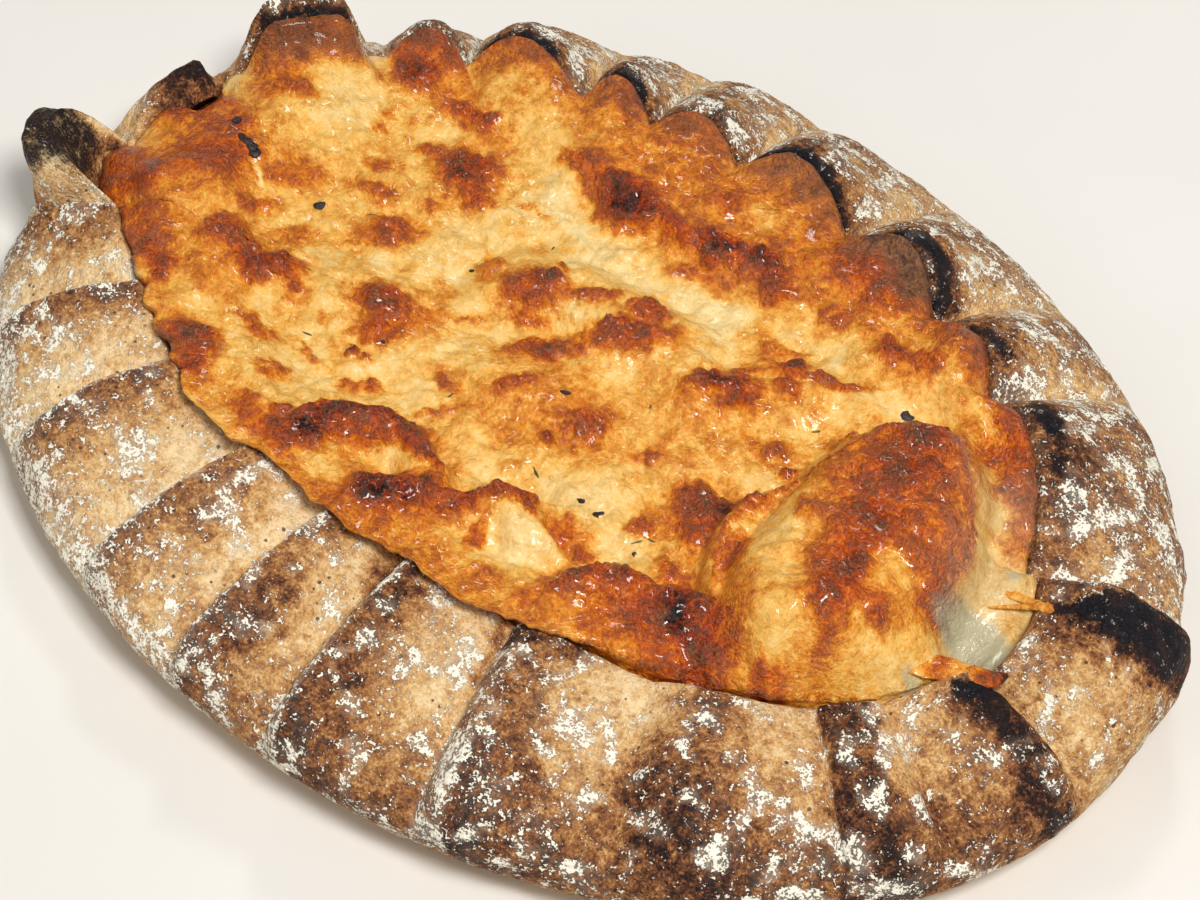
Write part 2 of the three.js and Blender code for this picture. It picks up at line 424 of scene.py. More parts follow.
@dataclass(frozen=True)
class BakedFillingFinish:
    """Baked potato: pale cream through gold and orange-brown to black, with a buttery shine and pale flecks
    that are partly painted glints.

    Sizes of patterns and the relief are in millimetres.
    """

    stops: Stops = (
        (0.0, linear(240, 219, 164)),
        (0.14, linear(240, 205, 134)),
        (0.28, linear(239, 180, 82)),
        (0.42, linear(227, 136, 28)),
        (0.55, linear(202, 92, 10)),
        (0.68, linear(166, 59, 6)),
        (0.82, linear(122, 40, 6)),
        (0.94, linear(72, 24, 10)),
        (1.0, linear(22, 13, 13)),
    )
    wet: Rgba = linear(178, 177, 150)
    # Colour of the pale flecks: partly real pale fibres, partly painted glints
    fleck: Rgba = linear(244, 186, 128)
    leather: tuple[Rgba, Rgba] = (linear(84, 52, 38), linear(158, 106, 68))
    fine: float = 0.34
    grain: float = 0.9
    lump: float = 2.4
    fibre: float = 0.8
    fibre_thinness: float = 3.2
    relief: float = 0.5
    roughness: float = 0.16
    specular: float = 0.36
    coat: float = 0.3
    coat_roughness: float = 0.07

    def make(self) -> bpy.types.Material:
        """The material.

        Returns:
            A material that reads the filling's marks.
        """
        g = ShaderGraph("baked_filling_finish")
        fine = g.noise(self.fine, 2.0, 0.6)
        grainy = g.noise(self.grain, 3.0, 0.6)
        lumps = g.noise(self.lump, 4.0, 0.6)
        baked = g.mark(Mark.TONE)
        uneven = lumps * 0.12 + grainy * 0.15 + fine * 0.12
        tone = baked + uneven * (0.4 + baked * 1.2)
        colour = g.mix(g.mark(Mark.WET) + grainy * 0.06, g.ramp(tone, self.stops), self.wet)
        twisted = g.noise(self.fibre, 2.0, 0.6, 2.0)
        fibre = (1.0 - twisted.most(0.0 - twisted) * self.fibre_thinness).most(0.0)
        fibre = fibre * (lumps + grainy * 0.5).step(-0.5, 0.6)
        # Pale flecks and fibre lines on the browned parts: partly the real fibres, partly painted glints
        fleck = (fine + grainy * 0.5).step(0.75, 1.15).most(fibre * 0.6)
        fleck = fleck * baked.step(0.3, 0.65) * (1.0 - baked.step(0.74, 0.9))
        colour = g.mix(fleck * 0.5, colour, self.fleck)
        dry = (g.mark(Mark.DRY) * (1.0 + lumps * 0.4 + grainy * 0.2)).step(0.05, 0.85)
        colour = g.mix(dry, colour, g.mix((grainy + fine * 0.6).step(-0.7, 0.8), *self.leather))
        height = lumps * 0.3 + grainy * 0.28 + fine * 0.22 + fibre * 0.26
        height = height * (0.34 + baked.step(0.2, 0.6) * 0.82)
        return g.finish(
            {
                "Base Color": colour,
                "Roughness": self.roughness + grainy * 0.08 + dry * 0.4,
                "Coat Weight": (self.coat + lumps * 0.3) * (1.0 - dry * 0.8),
                "Coat Roughness": self.coat_roughness,
                "Specular IOR Level": self.specular,
                "Normal": g.bump(height, self.relief),
            }
        )


@dataclass(frozen=True)
class PowderFinish:
    """A plain dry bit of one colour, uneven from place to place."""

    name: str
    dark: Rgba
    light: Rgba
    roughness: float = 0.9
    blotch: float = 0.7
    grain: float = 0.28
    relief: float = 0.05

    def make(self) -> bpy.types.Material:
        """The material.

        Returns:
            A material with soft blotches between the two colours.
        """
        g = ShaderGraph(self.name)
        blotch = g.noise(self.blotch).step(-0.5, 0.5)
        return g.finish(
            {
                "Base Color": g.mix(blotch, self.dark, self.light),
                "Roughness": self.roughness - blotch * 0.12,
                "Normal": g.bump(g.noise(self.grain), self.relief),
            }
        )


# Meshes


@dataclass
class RingMesh:
    """A closed mesh of rings of equally many points, with a pole at both ends."""

    name: str
    rings: np.ndarray
    first: Place
    last: Place
    marks: dict[Mark, np.ndarray] = field(default_factory=dict)

    def make(self) -> bpy.types.Object:
        """Builds the mesh in the object's frame, in metres.

        Returns:
            The linked object.
        """
        rows, around, _ = self.rings.shape
        points = np.concatenate([self.rings.reshape(-1, 3), [self.first], [self.last]])
        points[:, 0] += OVAL_MIDDLE[0]
        points[:, 1] += OVAL_MIDDLE[1]
        column = np.arange(around)
        after = (column + 1) % around
        quads = []
        for row in range(rows - 1):
            low, high = row * around, (row + 1) * around
            quads.append(np.stack([low + column, low + after, high + after, high + column], 1))
        first, last, top = rows * around, rows * around + 1, (rows - 1) * around
        start = np.stack([np.full(around, first), after, column], 1)
        end = np.stack([np.full(around, last), top + column, top + after], 1)
        faces = np.concatenate(quads).tolist() + start.tolist() + end.tolist()
        mesh = bpy.data.meshes.new(self.name)
        mesh.from_pydata((points * MM).tolist(), [], faces)
        mesh.polygons.foreach_set("use_smooth", [True] * len(mesh.polygons))
        for mark, values in self.marks.items():
            flat = values.reshape(rows * around)
            ends = [flat[:around].mean(), flat[-around:].mean()]
            layer = mesh.attributes.new(mark.value, "FLOAT", "POINT")
            layer.data.foreach_set("value", np.concatenate([flat, ends]).astype(np.float32))
        mesh.validate()
        return link(mesh)


def link(mesh: bpy.types.Mesh) -> bpy.types.Object:
    """Shows a mesh.

    Args:
        mesh: The mesh, in the object's frame.

    Returns:
        An object of its name, at the origin.
    """
    made = bpy.data.objects.new(mesh.name, mesh)
    bpy.context.scene.collection.objects.link(made)
    return made


def triangles(piece: bpy.types.Object) -> int:
    """How many triangles a piece has."""
    return sum(len(face.vertices) - 2 for face in piece.data.polygons)


# Geometry Nodes


class GeometryTree(Graph):
    """A Geometry Nodes tree with named inputs, run once on a piece."""

    def __init__(self, name: str, inputs: Mapping[str, Union[float, int]]) -> None:
        """Makes the tree with a geometry and these numbers as its inputs.

        Args:
            name: The tree's name.
            inputs: Each number's name and value, whole numbers for whole values.
        """
        tree = bpy.data.node_groups.new(name, "GeometryNodeTree")
        super().__init__(tree)
        tree.interface.new_socket("Geometry", in_out="INPUT", socket_type="NodeSocketGeometry")
        tree.interface.new_socket("Geometry", in_out="OUTPUT", socket_type="NodeSocketGeometry")
        self.values: dict[str, Union[float, int]] = {}
        for key, value in inputs.items():
            kind = "NodeSocketInt" if isinstance(value, int) else "NodeSocketFloat"
            socket = tree.interface.new_socket(key, in_out="INPUT", socket_type=kind)
            self.values[socket.identifier] = value
        self.source = self.add("NodeGroupInput", {}, {})

    def given(self, name: str) -> Signal:
        """One of the tree's own inputs."""
        return Signal(self, self.source.outputs[name])

    def mark(self, mark: Mark) -> Signal:
        """A value that the surface keeps at its points."""
        settings = {"data_type": "FLOAT"}
        return self.node("GeometryNodeInputNamedAttribute", settings, {"Name": mark.value}, "Attribute")

    def between(self, low: float, high: float, seed: int) -> Signal:
        """A random number for each element."""
        inputs = {2: low, 3: high, "Seed": seed}
        return self.node("FunctionNodeRandomValue", {"data_type": "FLOAT"}, inputs, 1)

    def vector(self, x: Input, y: Input, z: Input) -> Signal:
        """A vector from three numbers."""
        return self.node("ShaderNodeCombineXYZ", {}, {0: x, 1: y, 2: z})

    def scaled(self, vector: Signal, factor: Input) -> Signal:
        """A vector times a number."""
        return self.node("ShaderNodeVectorMath", {"operation": "SCALE"}, {0: vector, "Scale": factor})

    def noise(self, size: Signal, detail: float, output: str = "Fac") -> Signal:
        """Noise over the geometry's own places.

        Args:
            size: Size of the largest lumps, in metres.
            detail: How many finer layers are added.
            output: Which of its outputs is wanted.

        Returns:
            That output.
        """
        place = self.node("GeometryNodeInputPosition", {}, {})
        finer = self.node("ShaderNodeMath", {"operation": "DIVIDE"}, {0: 1.0, 1: size})
        inputs = {"Vector": place, "Scale": finer, "Detail": detail}
        return self.node("ShaderNodeTexNoise", {}, inputs, output)

    def moved(self, geometry: Signal, offset: Signal) -> Signal:
        """A geometry with its points moved."""
        return self.node("GeometryNodeSetPosition", {}, {"Geometry": geometry, "Offset": offset})

    def run(
        self, geometry: Signal, host: bpy.types.Object, name: str, material: bpy.types.Material
    ) -> bpy.types.Object:
        """Ends the tree, runs it on a copy of a piece and keeps the result as a plain mesh.

        Args:
            geometry: What the tree gives.
            host: The piece whose mesh the tree reads.
            name: The new piece's name.
            material: The new piece's material.

        Returns:
            The new piece.
        """
        real = self.node("GeometryNodeRealizeInstances", {}, {"Geometry": geometry})
        dressed = self.node("GeometryNodeSetMaterial", {}, {"Geometry": real, "Material": material})
        self.add("NodeGroupOutput", {}, {"Geometry": dressed})
        worker = link(host.data.copy())
        modifier = worker.modifiers.new(self.tree.name, "NODES")
        modifier.node_group = self.tree
        for identifier, value in self.values.items():
            modifier[identifier] = value
        depsgraph = bpy.context.evaluated_depsgraph_get()
        result = worker.evaluated_get(depsgraph)
        mesh = bpy.data.meshes.new_from_object(result, preserve_all_data_layers=True, depsgraph=depsgraph)
        mesh.name = name
        worker.modifiers.remove(modifier)
        bpy.data.objects.remove(worker)
        return link(mesh)


@dataclass(frozen=True)
class Relief:
    """Fine unevenness that follows a surface, as strong as its skin mark says."""

    name: str
    lump: float
    depth: float

    def apply(
        self, host: bpy.types.Object, name: str, material: bpy.types.Material
    ) -> bpy.types.Object:
        """Makes the piece again with its skin raised and lowered.

        Args:
            host: The smooth piece, which is removed.
            name: The new piece's name.
            material: The new piece's material.

        Returns:
            The uneven piece.
        """
        tree = GeometryTree(self.name, {"Lump": self.lump * MM, "Depth": self.depth * MM})
        lumps = (tree.noise(tree.given("Lump"), 4.0) - 0.5) * NOISE_SPREAD
        height = lumps * tree.given("Depth") * tree.mark(Mark.SKIN)
        normal = tree.node("GeometryNodeInputNormal", {}, {})
        raised = tree.moved(tree.given("Geometry"), tree.scaled(normal, height))
        made = tree.run(raised, host, name, material)
        bpy.data.objects.remove(host)
        return made


@dataclass(frozen=True)
class Scatter:
    """Small loose bits that lie on a surface, more of them where a mark is high.

    A high rarity leaves fewer large bits, and the stretch is the least and most of their lengths.
    """

    name: str
    per_square_metre: float
    small: float
    large: float
    flatness: float
    seed: int
    mark: Mark
    threshold: float
    rarity: float = 2.2
    stretch: Span = (0.7, 1.4)

    def make(self, host: bpy.types.Object, material: bpy.types.Material) -> bpy.types.Object:
        """Scatters the bits.

        Args:
            host: The piece that they lie on.
            material: Their material.

        Returns:
            One piece with all the bits.
        """
        inputs = {"Density": self.per_square_metre, "Small": self.small * MM, "Large": self.large * MM}
        inputs.update({"Flatness": self.flatness, "Seed": self.seed})
        tree = GeometryTree(self.name, inputs)
        small, large = tree.given("Small"), tree.given("Large")
        density = tree.given("Density") * tree.mark(self.mark).step(self.threshold, 1.0)
        ground = {"Mesh": tree.given("Geometry"), "Density": density, "Seed": tree.given("Seed")}
        points = tree.node("GeometryNodeDistributePointsOnFaces", {}, ground, "Points")
        bit = tree.node("GeometryNodeMeshIcoSphere", {}, {"Radius": 1.0, "Subdivisions": 1}, "Mesh")
        size = small + tree.between(0.0, 1.0, self.seed + 1) ** self.rarity * (large - small)
        length = size * tree.between(*self.stretch, self.seed + 2)
        turn = tree.vector(0.0, 0.0, tree.between(0.0, ROUND, self.seed + 3))
        spin = tree.node("FunctionNodeEulerToRotation", {}, {0: turn})
        lie = {0: points.other("Rotation"), 1: spin}
        placed = {
            "Points": points,
            "Instance": bit,
            "Rotation": tree.node("FunctionNodeRotateRotation", {"rotation_space": "LOCAL"}, lie),
            "Scale": tree.vector(length, size, size * tree.given("Flatness")),
        }
        bits = tree.node("GeometryNodeInstanceOnPoints", {}, placed)
        real = tree.node("GeometryNodeRealizeInstances", {}, {"Geometry": bits})
        wobble = {0: tree.noise(large, 2.0, "Color"), 1: (0.5, 0.5, 0.5)}
        centred = tree.node("ShaderNodeVectorMath", {"operation": "SUBTRACT"}, wobble)
        return tree.run(tree.moved(real, tree.scaled(centred, small)), host, self.name, material)


# The crust


@dataclass(frozen=True)
class FourSides:
    """A size that is given at the four sides of the oval and changes smoothly between them."""

    right: float
    back: float
    left: float
    front: float

    def at(self, angle: np.ndarray) -> np.ndarray:
        """The size all round.

        Args:
            angle: Angles in radians.

        Returns:
            The size at each of them.
        """
        end = np.where(np.cos(angle) > 0, self.right, self.left)
        side = np.where(np.sin(angle) > 0, self.back, self.front)
        return lerp(side, end, np.cos(angle) ** 2)


@dataclass(frozen=True)
class Pleat:
    """One fold of the crust, from its own crease to the next one.

    The peak is the phase of its ridge, up and out are how far its crest stands from the rim line,
    ridge is its height on the wall and knob the height of the lump it ends in. A low blunt gives a
    flat top with steep sides, tight draws it in from its creases, and cleft is the depth of its own
    crease. Its ridge is toasted, its crest may be burnt from a share of the wall on, and the filling
    that bakes on inside it is browned to an inner tone, or to leather where it is dry.
    """

    start: float
    peak: float
    up: float
    out: float
    ridge: float
    knob: float = 0.0
    blunt: float = 1.0
    tight: float = 0.0
    cleft: float = 1.0
    toast: float = 0.4
    burn: float = 0.0
    burn_from: float = 0.9
    inner: float = 0.0
    dry: float = 0.0


PLEATS = (
    Pleat(356, 0.82, 1.6, 0.6, 5.8, toast=0.2, inner=0.2),
    Pleat(19.5, 0.8, 2.2, 1.6, 1.8, inner=0.66),
    Pleat(51.5, 0.52, 2.2, 1.8, 1.3, inner=0.64, dry=0.35),
    Pleat(65, 0.55, 3.2, 2.4, 1.4, inner=0.66, dry=1.0),
    Pleat(80, 0.6, 3.2, 2.6, 1.5, inner=0.54, dry=0.6),
    Pleat(95.5, 0.54, 2.6, 1.8, 1.3, inner=0.58, dry=0.5),
    Pleat(107, 0.55, 2.8, 2.0, 1.0, inner=0.58, dry=0.45),
    Pleat(116, 0.55, 3.2, 2.2, 2.2, inner=0.56, dry=0.4),
    Pleat(131, 0.45, 2.6, 1.8, 1.4, burn=0.3, inner=0.76, dry=0.5),
    Pleat(142, 0.4, 5.4, 0.6, 0.8, knob=1.8, tight=0.3, inner=0.6, dry=0.55),
    Pleat(167, 0.26, 2.0, -0.9, 0.2, knob=1.7, tight=0.25, burn=0.3, burn_from=0.8, inner=0.6),
    Pleat(187, 0.55, -0.4, 2.0, 2.4, knob=6.2, blunt=0.6, tight=0.12, burn=0.82, burn_from=0.52, inner=0.66),
    Pleat(200.5, 0.12, 0.9, 0.2, 2.2, inner=0.6),
    Pleat(216, 0.14, 0.6, 0.1, 2.8),
    Pleat(231, 0.15, 0.6, 0.1, 3.0),
    Pleat(248, 0.16, 0.6, 0.1, 3.1, toast=0.26),
    Pleat(261, 0.17, 0.5, 0.1, 3.1),
    Pleat(272, 0.15, 0.6, 0.1, 3.2),
    Pleat(287, 0.2, 0.5, 0.1, 2.8, cleft=0.5),
    Pleat(305, 0.3, 0.4, 0.1, 2.2, cleft=0.15),
    Pleat(327, 0.45, 0.8, 0.2, 1.8, blunt=0.4, toast=0.5, cleft=0.6),
    Pleat(338, 0.74, 1.6, 0.4, 2.4, toast=0.24),
)


@dataclass(frozen=True)
class Stroke:
    """A burnt or toasted streak on the crust.

    It has its way over the surface, its half-width, how dark its burn and its toast are, and how
    sharp and how frayed its border is.
    """

    path: tuple[Place, ...]
    width: float
    burn: float
    toast: float
    power: float = 2.2
    fray: float = 0.7

    def weight(self, points: np.ndarray, stray: np.ndarray, spread: float = 1.0) -> np.ndarray:
        """How much of it shows at each point.

        Args:
            points: The places, with X, Y and Z last.
            stray: Random values that fray its border.
            spread: How many times its half-width it reaches.

        Returns:
            0 off the stroke to 1 on it.
        """
        best = np.full(points.shape[:-1], np.inf)
        for start, end in zip(np.array(self.path[:-1]), np.array(self.path[1:])):
            run = end - start
            share = np.clip((points - start) @ run / (run @ run), 0.0, 1.0)
            best = np.minimum(best, np.linalg.norm(points - start - share[..., None] * run, axis=-1))
        return bump(np.maximum(0.0, best / (self.width * spread) + stray * self.fray), 1.0, self.power)


BURNS = (
    Stroke(((53.6, 6.9, 17.1), (55.4, 7.6, 17.9)), 1.0, 0.9, 0.9, 3),
    Stroke(((55.8, 7.8, 18), (57.6, 8.5, 18.3)), 2.0, 1.0, 0.9, 4),
    Stroke(((58.2, 9, 18.1), (60.2, 9.9, 17.3)), 3.1, 1.0, 0.9, 4),
    Stroke(((60.8, 10.2, 16.6), (63, 11, 14.6)), 2.9, 1.0, 0.9, 3),
    Stroke(((63, 10.8, 14.2), (64.4, 11.6, 11.5)), 2.3, 0.6, 0.95),
    Stroke(((54.6, 5, 16.7), (56.2, 4.6, 16.7)), 1.1, 0.0, 0.66),
    Stroke(
        ((52.5, -5.2, 15.9), (56.3, -5.7, 15), (59.8, -6.9, 13.6), (62.8, -7.9, 11.4), (64.3, -7.4, 8)),
        2.3, 0.5, 0.95,
    ),
    Stroke(((51.4, -5.7, 15.9), (53.3, -4.4, 15.9), (54.6, -3.6, 15.6)), 1.6, 1.0, 0.9),
    Stroke(((53, -5.2, 15.8), (55.2, -5.8, 15.4), (57.2, -6.4, 14.8)), 1.3, 0.8, 0.95),
    Stroke(((36.8, 25.8, 15.6), (38.4, 25.2, 16.1), (40.2, 24.3, 16.1)), 1.3, 1.0, 0.9),
    Stroke(((40.2, 24.3, 16.1), (41.8, 22.7, 16.2), (43.3, 20.3, 16)), 1.0, 0.6, 0.9),
    Stroke(((42, 24, 16), (44.2, 21.6, 15.7), (45.2, 18.5, 15.4)), 2.4, 0.2, 0.74),
    Stroke(((26.5, 29.2, 16.3), (28.3, 29.4, 16.3), (30.7, 29.3, 15.5)), 1.1, 0.8, 0.8),
    Stroke(((30.2, 27.6, 15.6), (29.5, 28.5, 16)), 1.3, 0.3, 0.75),
    Stroke(
        ((14.3, 33.4, 17.1), (16.3, 34.3, 17.3), (18.8, 33.7, 16.6), (21.1, 32, 15.2), (21.4, 30.3, 14.6)),
        1.4, 1.0, 0.9,
    ),
    Stroke(
        ((-2.8, 34, 15.9), (-1.2, 35.1, 17.2), (1.8, 35.3, 17.5), (4.5, 34.3, 16.5), (7.6, 32.2, 14.6)),
        1.05, 1.0, 0.9,
    ),
    Stroke(((-13.4, 32, 15.7), (-12, 33, 16.2), (-8.8, 33.2, 16.4), (-7, 32.8, 14.9)), 1.1, 0.62, 0.85),
    Stroke(((-22, 31.3, 15.8), (-20.4, 32.5, 16.7), (-18.9, 32.4, 16.2), (-17.6, 31, 16)), 1.4, 1.0, 0.9),
    Stroke(((-33.5, 27.9, 16), (-31.3, 29.8, 17.3), (-29.2, 30.5, 17), (-28.3, 29.8, 16)), 1.3, 1.0, 0.9),
    Stroke(((-40.8, 23.6, 15), (-39.1, 24.3, 15.6), (-37.6, 23, 15.3)), 1.7, 0.4, 0.85),
    Stroke(
        ((-52.3, 13.6, 18.3), (-50.4, 15.8, 19.2), (-48.6, 17.6, 19.4), (-47.2, 18.6, 18.6)),
        1.1, 1.0, 0.9,
    ),
    Stroke(((-56, 3.2, 16.2), (-55.6, 5.1, 16.4), (-54.8, 6.1, 15.8)), 1.7, 0.66, 0.9),
    Stroke(((-54.6, 4, 16), (-54.6, 2.8, 15.2)), 0.8, 0.6, 0.8),
)
BROWNS = (
    Stroke(
        ((45, -14.5, 15), (47.1, -16.3, 15.1), (49.6, -19, 14.4), (52.9, -22, 12.7), (55.4, -24.2, 9.5)),
        1.75, 0.14, 0.82, 8,
    ),
    Stroke(((-16.6, -35.9, 14.5), (-15.9, -32.7, 15), (-16.8, -29.1, 15.6)), 2.1, 0.0, 0.6),
    Stroke(((-5.5, -37.8, 14.8), (-5.7, -40.8, 13.9), (-5.8, -43.6, 13)), 2.3, 0.1, 0.72),
    Stroke(((3.5, -29.5, 16.1), (5.2, -35.5, 15.6), (6, -40.1, 14.5)), 2.3, 0.1, 0.72),
    Stroke(((15.8, -27.3, 15.8), (18.3, -25.8, 15.4), (20.9, -24.4, 14.7)), 1.6, 0.15, 0.8),
    Stroke(((17.9, -31.2, 15.6), (19.4, -35.6, 14.8), (19.5, -37.5, 14.5)), 2.2, 0.05, 0.58),
    Stroke(((22.1, -36, 14.4), (26.7, -40, 12.1)), 2.4, 0.12, 0.66),
    Stroke(((36.4, -31.4, 14.1), (39, -31.7, 13.4), (39.2, -34, 12.7)), 3.2, 0.28, 0.86),
    Stroke(((34.5, -28.1, 14.9), (33.6, -30.3, 14.2), (34.4, -36.2, 11.4)), 2.0, 0.0, 0.6),
    Stroke(((44.6, -30.7, 12), (48.7, -28.4, 10.5), (52.7, -26, 9.3)), 2.5, 0.0, 0.66),
    Stroke(((56, -17, 11.5), (59, -13, 10.5)), 2.6, 0.0, 0.6),
    Stroke(((-52, -16, 13), (-57, -14, 9)), 2.6, 0.0, 0.5),
)


@dataclass(frozen=True)
class Stretch:
    """A stretch of the rim or brim: its middle, reach, and how far in and how deep it is pushed."""

    angle: float
    reach: float
    inward: float = 0.0
    depth: float = 0.0
    power: float = 4.0

    def weight(self, angle: np.ndarray) -> np.ndarray:
        """1 in its middle to 0 off it, at angles in radians."""
        return bump(turned_by(angle, self.angle), self.reach, self.power)


RIM_SHIFTS = (Stretch(214.0, 15.0, 2.2, power=3.0), Stretch(5.0, 13.0, -2.3, power=3.0))


@dataclass
class Columns:
    """The columns of points that run up the wall: one value for each, all round."""

    angle: np.ndarray
    phase: np.ndarray
    ridge: np.ndarray
    crease: np.ndarray
    run: np.ndarray
    peak: np.ndarray
    up: np.ndarray
    out: np.ndarray
    height: np.ndarray
    knob: np.ndarray
    burn: np.ndarray
    burn_from: np.ndarray
    toast: np.ndarray
    inner: np.ndarray
    dry: np.ndarray
    cleft: np.ndarray

    @property
    def lean(self) -> np.ndarray:
        """Which way each ridge leans, over its sharper side."""
        return np.where(self.peak < 0.5, -1.0, 1.0)


@dataclass
class Profile:
    """Points up the wall, by how far they lie inside the outline, how high, and slid along it."""

    inset: np.ndarray
    height: np.ndarray
    slide: np.ndarray

    def mixed(self, other: "Profile", share: Any) -> "Profile":
        """The profile at a share of the way to another."""
        return Profile(
            lerp(self.inset, other.inset, share),
            lerp(self.height, other.height, share),
            lerp(self.slide, other.slide, share),
        )


@dataclass
class Crust:
    """The pleated rye crust.

    Shares of the wall run from the waist, 0, to the rim line, 1, and a span of them is where
    something begins and where it is whole, or gone. Rim relief is the share of the ridges' height
    that is left at the rim line. Toast and flour are 0 to 1, and a pair of values goes from the left
    end to the right end for toast, and from the right to the left for flour.
    """

    length: float = 130.0
    width: float = 96.4
    waist: FourSides = FourSides(6.5, 5.5, 5.0, 7.5)
    foot_inset: FourSides = FourSides(8.5, 8.0, 7.0, 11.0)
    rim_inset: FourSides = FourSides(15.0, 15.5, 8.8, 21.4)
    rim_height: FourSides = FourSides(13.6, 14.0, 13.2, 14.2)
    fullness: FourSides = FourSides(0.85, 0.5, 0.15, 1.0)
    tuck_depth: float = 3.4
    tuck_angle: float = 160.0
    tuck_power: float = 6.0
    dough: float = 2.2
    nose: float = 0.7
    lean: float = 0.5
    crest_from: float = 0.5
    rim_relief: FourSides = FourSides(0.3, 0.3, 0.3, 0.7)
    crisp_peak: float = 0.24
    ridge_rise: Span = (-0.1, 0.45)
    ridge_fall: Span = (0.65, 1.0)
    knob_rise: Span = (0.3, 0.75)
    column_step: float = 0.52
    steep_columns: int = 8
    groove_depth: float = 0.8
    groove_width: float = 0.45
    groove_rise: Span = (0.05, 0.3)
    groove_fall: Span = (0.93, 1.0)
    wobble: Unevenness = Unevenness(7.0, 3, 1.0, 0.35)
    wobble_up: float = 0.6
    wobble_rise: Span = (-0.5, 0.1)
    wobble_fall: Span = (0.85, 1.1)
    marks_rise: Span = (-0.6, 0.1)
    marks_fall: Span = (0.98, 1.2)
    coarse: Unevenness = Unevenness(5.0, 3, 2.0)
    middling: Unevenness = Unevenness(1.5, 3, 4.0)
    clusters: Unevenness = Unevenness(3.0, 2, 6.0)
    toast_ground: float = 0.08
    toast_back: float = 0.16
    toast_inside: float = 0.42
    toast_rim: float = 0.3
    toast_crest: float = 0.16
    toast_right: float = 0.2
    toast_foot: Span = (0.12, 0.66)
    toast_soft_from: float = 0.56
    stroke_halo: float = 1.6
    flour_ground: float = 0.22
    flour_clusters: float = 0.45
    flour_back: float = 0.14
    flour_facet: float = 0.26
    flour_foot: Span = (0.08, 0.42)
    relief: Relief = Relief("dough_relief", lump=1.8, depth=0.2)
    foot_rows: int = 10
    wall_rows: int = 62
    nose_rows: int = 8
    lining_rows: int = 12
    floor_rows: int = 3

    def columns(self) -> Columns:
        """Spreads columns over every pleat, closer together on its steep side.

        Returns:
            The columns, all round.
        """
        parts: dict[str, list[np.ndarray]] = {name: [] for name in Columns.__dataclass_fields__}
        for index, pleat in enumerate(PLEATS):
            following = PLEATS[(index + 1) % len(PLEATS)]
            sweep = (following.start - pleat.start) % 360.0
            middle = math.radians(pleat.start + sweep / 2)
            pace = math.hypot(self.length / 2 * math.sin(middle), self.width / 2 * math.cos(middle))
            run = math.radians(sweep) * pace
            rise_count = max(self.steep_columns, round(run * pleat.peak / self.column_step))
            fall_count = max(self.steep_columns, round(run * (1 - pleat.peak) / self.column_step))
            rise = np.arange(rise_count) / rise_count
            fall = np.arange(fall_count) / fall_count
            phase = np.concatenate([rise * pleat.peak, lerp(pleat.peak, 1.0, fall)])
            ridge = np.concatenate([np.sin(rise * QUARTER), self.falling(fall, pleat.peak)]) ** pleat.blunt
            ridge = smoothstep(ridge, pleat.tight, 1.0 - pleat.tight / 2) if pleat.tight else ridge
            values = {
                "angle": np.radians(pleat.start + phase * sweep),
                "phase": phase,
                "ridge": ridge,
                "crease": np.minimum(phase, 1.0 - phase) * run,
                "run": np.full_like(phase, run),
                "height": np.full_like(phase, pleat.ridge),
                "cleft": np.where(phase < 0.5, pleat.cleft, following.cleft),
            }
            for name, column in parts.items():
                column.append(values[name] if name in values else np.full_like(phase, getattr(pleat, name)))
        return Columns(**{name: np.concatenate(column) for name, column in parts.items()})

    def falling(self, share: np.ndarray, peak: float) -> np.ndarray:
        """A ridge's height from its peak to the next crease, crisp where the peak is near its own."""
        crisp = 0.45 * (1.0 - share**1.5) + 0.55 * (1.0 - share) ** 1.4
        return crisp if peak < self.crisp_peak else np.cos(share * QUARTER) ** 1.1

    def rim(self, columns: Columns) -> np.ndarray:
        """Finds the rim line.

        Args:
            columns: The columns.

        Returns:
            How far in it lies at each column.
        """
        inset = self.rim_inset.at(columns.angle)
        for shift in RIM_SHIFTS:
            inset = inset + shift.inward * shift.weight(columns.angle)
        return inset

    def place(self, columns: Columns, profile: Profile) -> np.ndarray:
        """Places profiles in space.

        Args:
            columns: The columns that they belong to.
            profile: One row or several of points.

        Returns:
            The points in millimetres about the oval's middle.
        """
        angle = columns.angle
        out_x, out_y = np.cos(angle) / self.length, np.sin(angle) / self.width
        size = np.hypot(out_x, out_y)
        out_x, out_y = out_x / size, out_y / size
        x = self.length / 2 * np.cos(angle) - profile.inset * out_x - profile.slide * out_y
        y = self.width / 2 * np.sin(angle) - profile.inset * out_y + profile.slide * out_x
        return np.stack(np.broadcast_arrays(x, y, profile.height), -1)

    def tuck(self, columns: Columns) -> np.ndarray:
        """How far the outline is pushed in at each column."""
        facing = np.maximum(0.0, np.cos(columns.angle - math.radians(self.tuck_angle)))
        return self.tuck_depth * facing**self.tuck_power

    def foot(self, columns: Columns, share: np.ndarray, depth: float) -> Profile:
        """The rounded foot, from the underside to the waist.

        Args:
            columns: The columns.
            share: Shares of the way up, in a column of rows.
            depth: How far inside the skin.

        Returns:
            The points.
        """
        turn = share * QUARTER
        inset = self.tuck(columns) + depth + self.foot_inset.at(columns.angle) * (1.0 - np.sin(turn))
        height = depth + (self.waist.at(columns.angle) - depth) * (1.0 - np.cos(turn))
        return Profile(inset, height, np.zeros_like(inset))

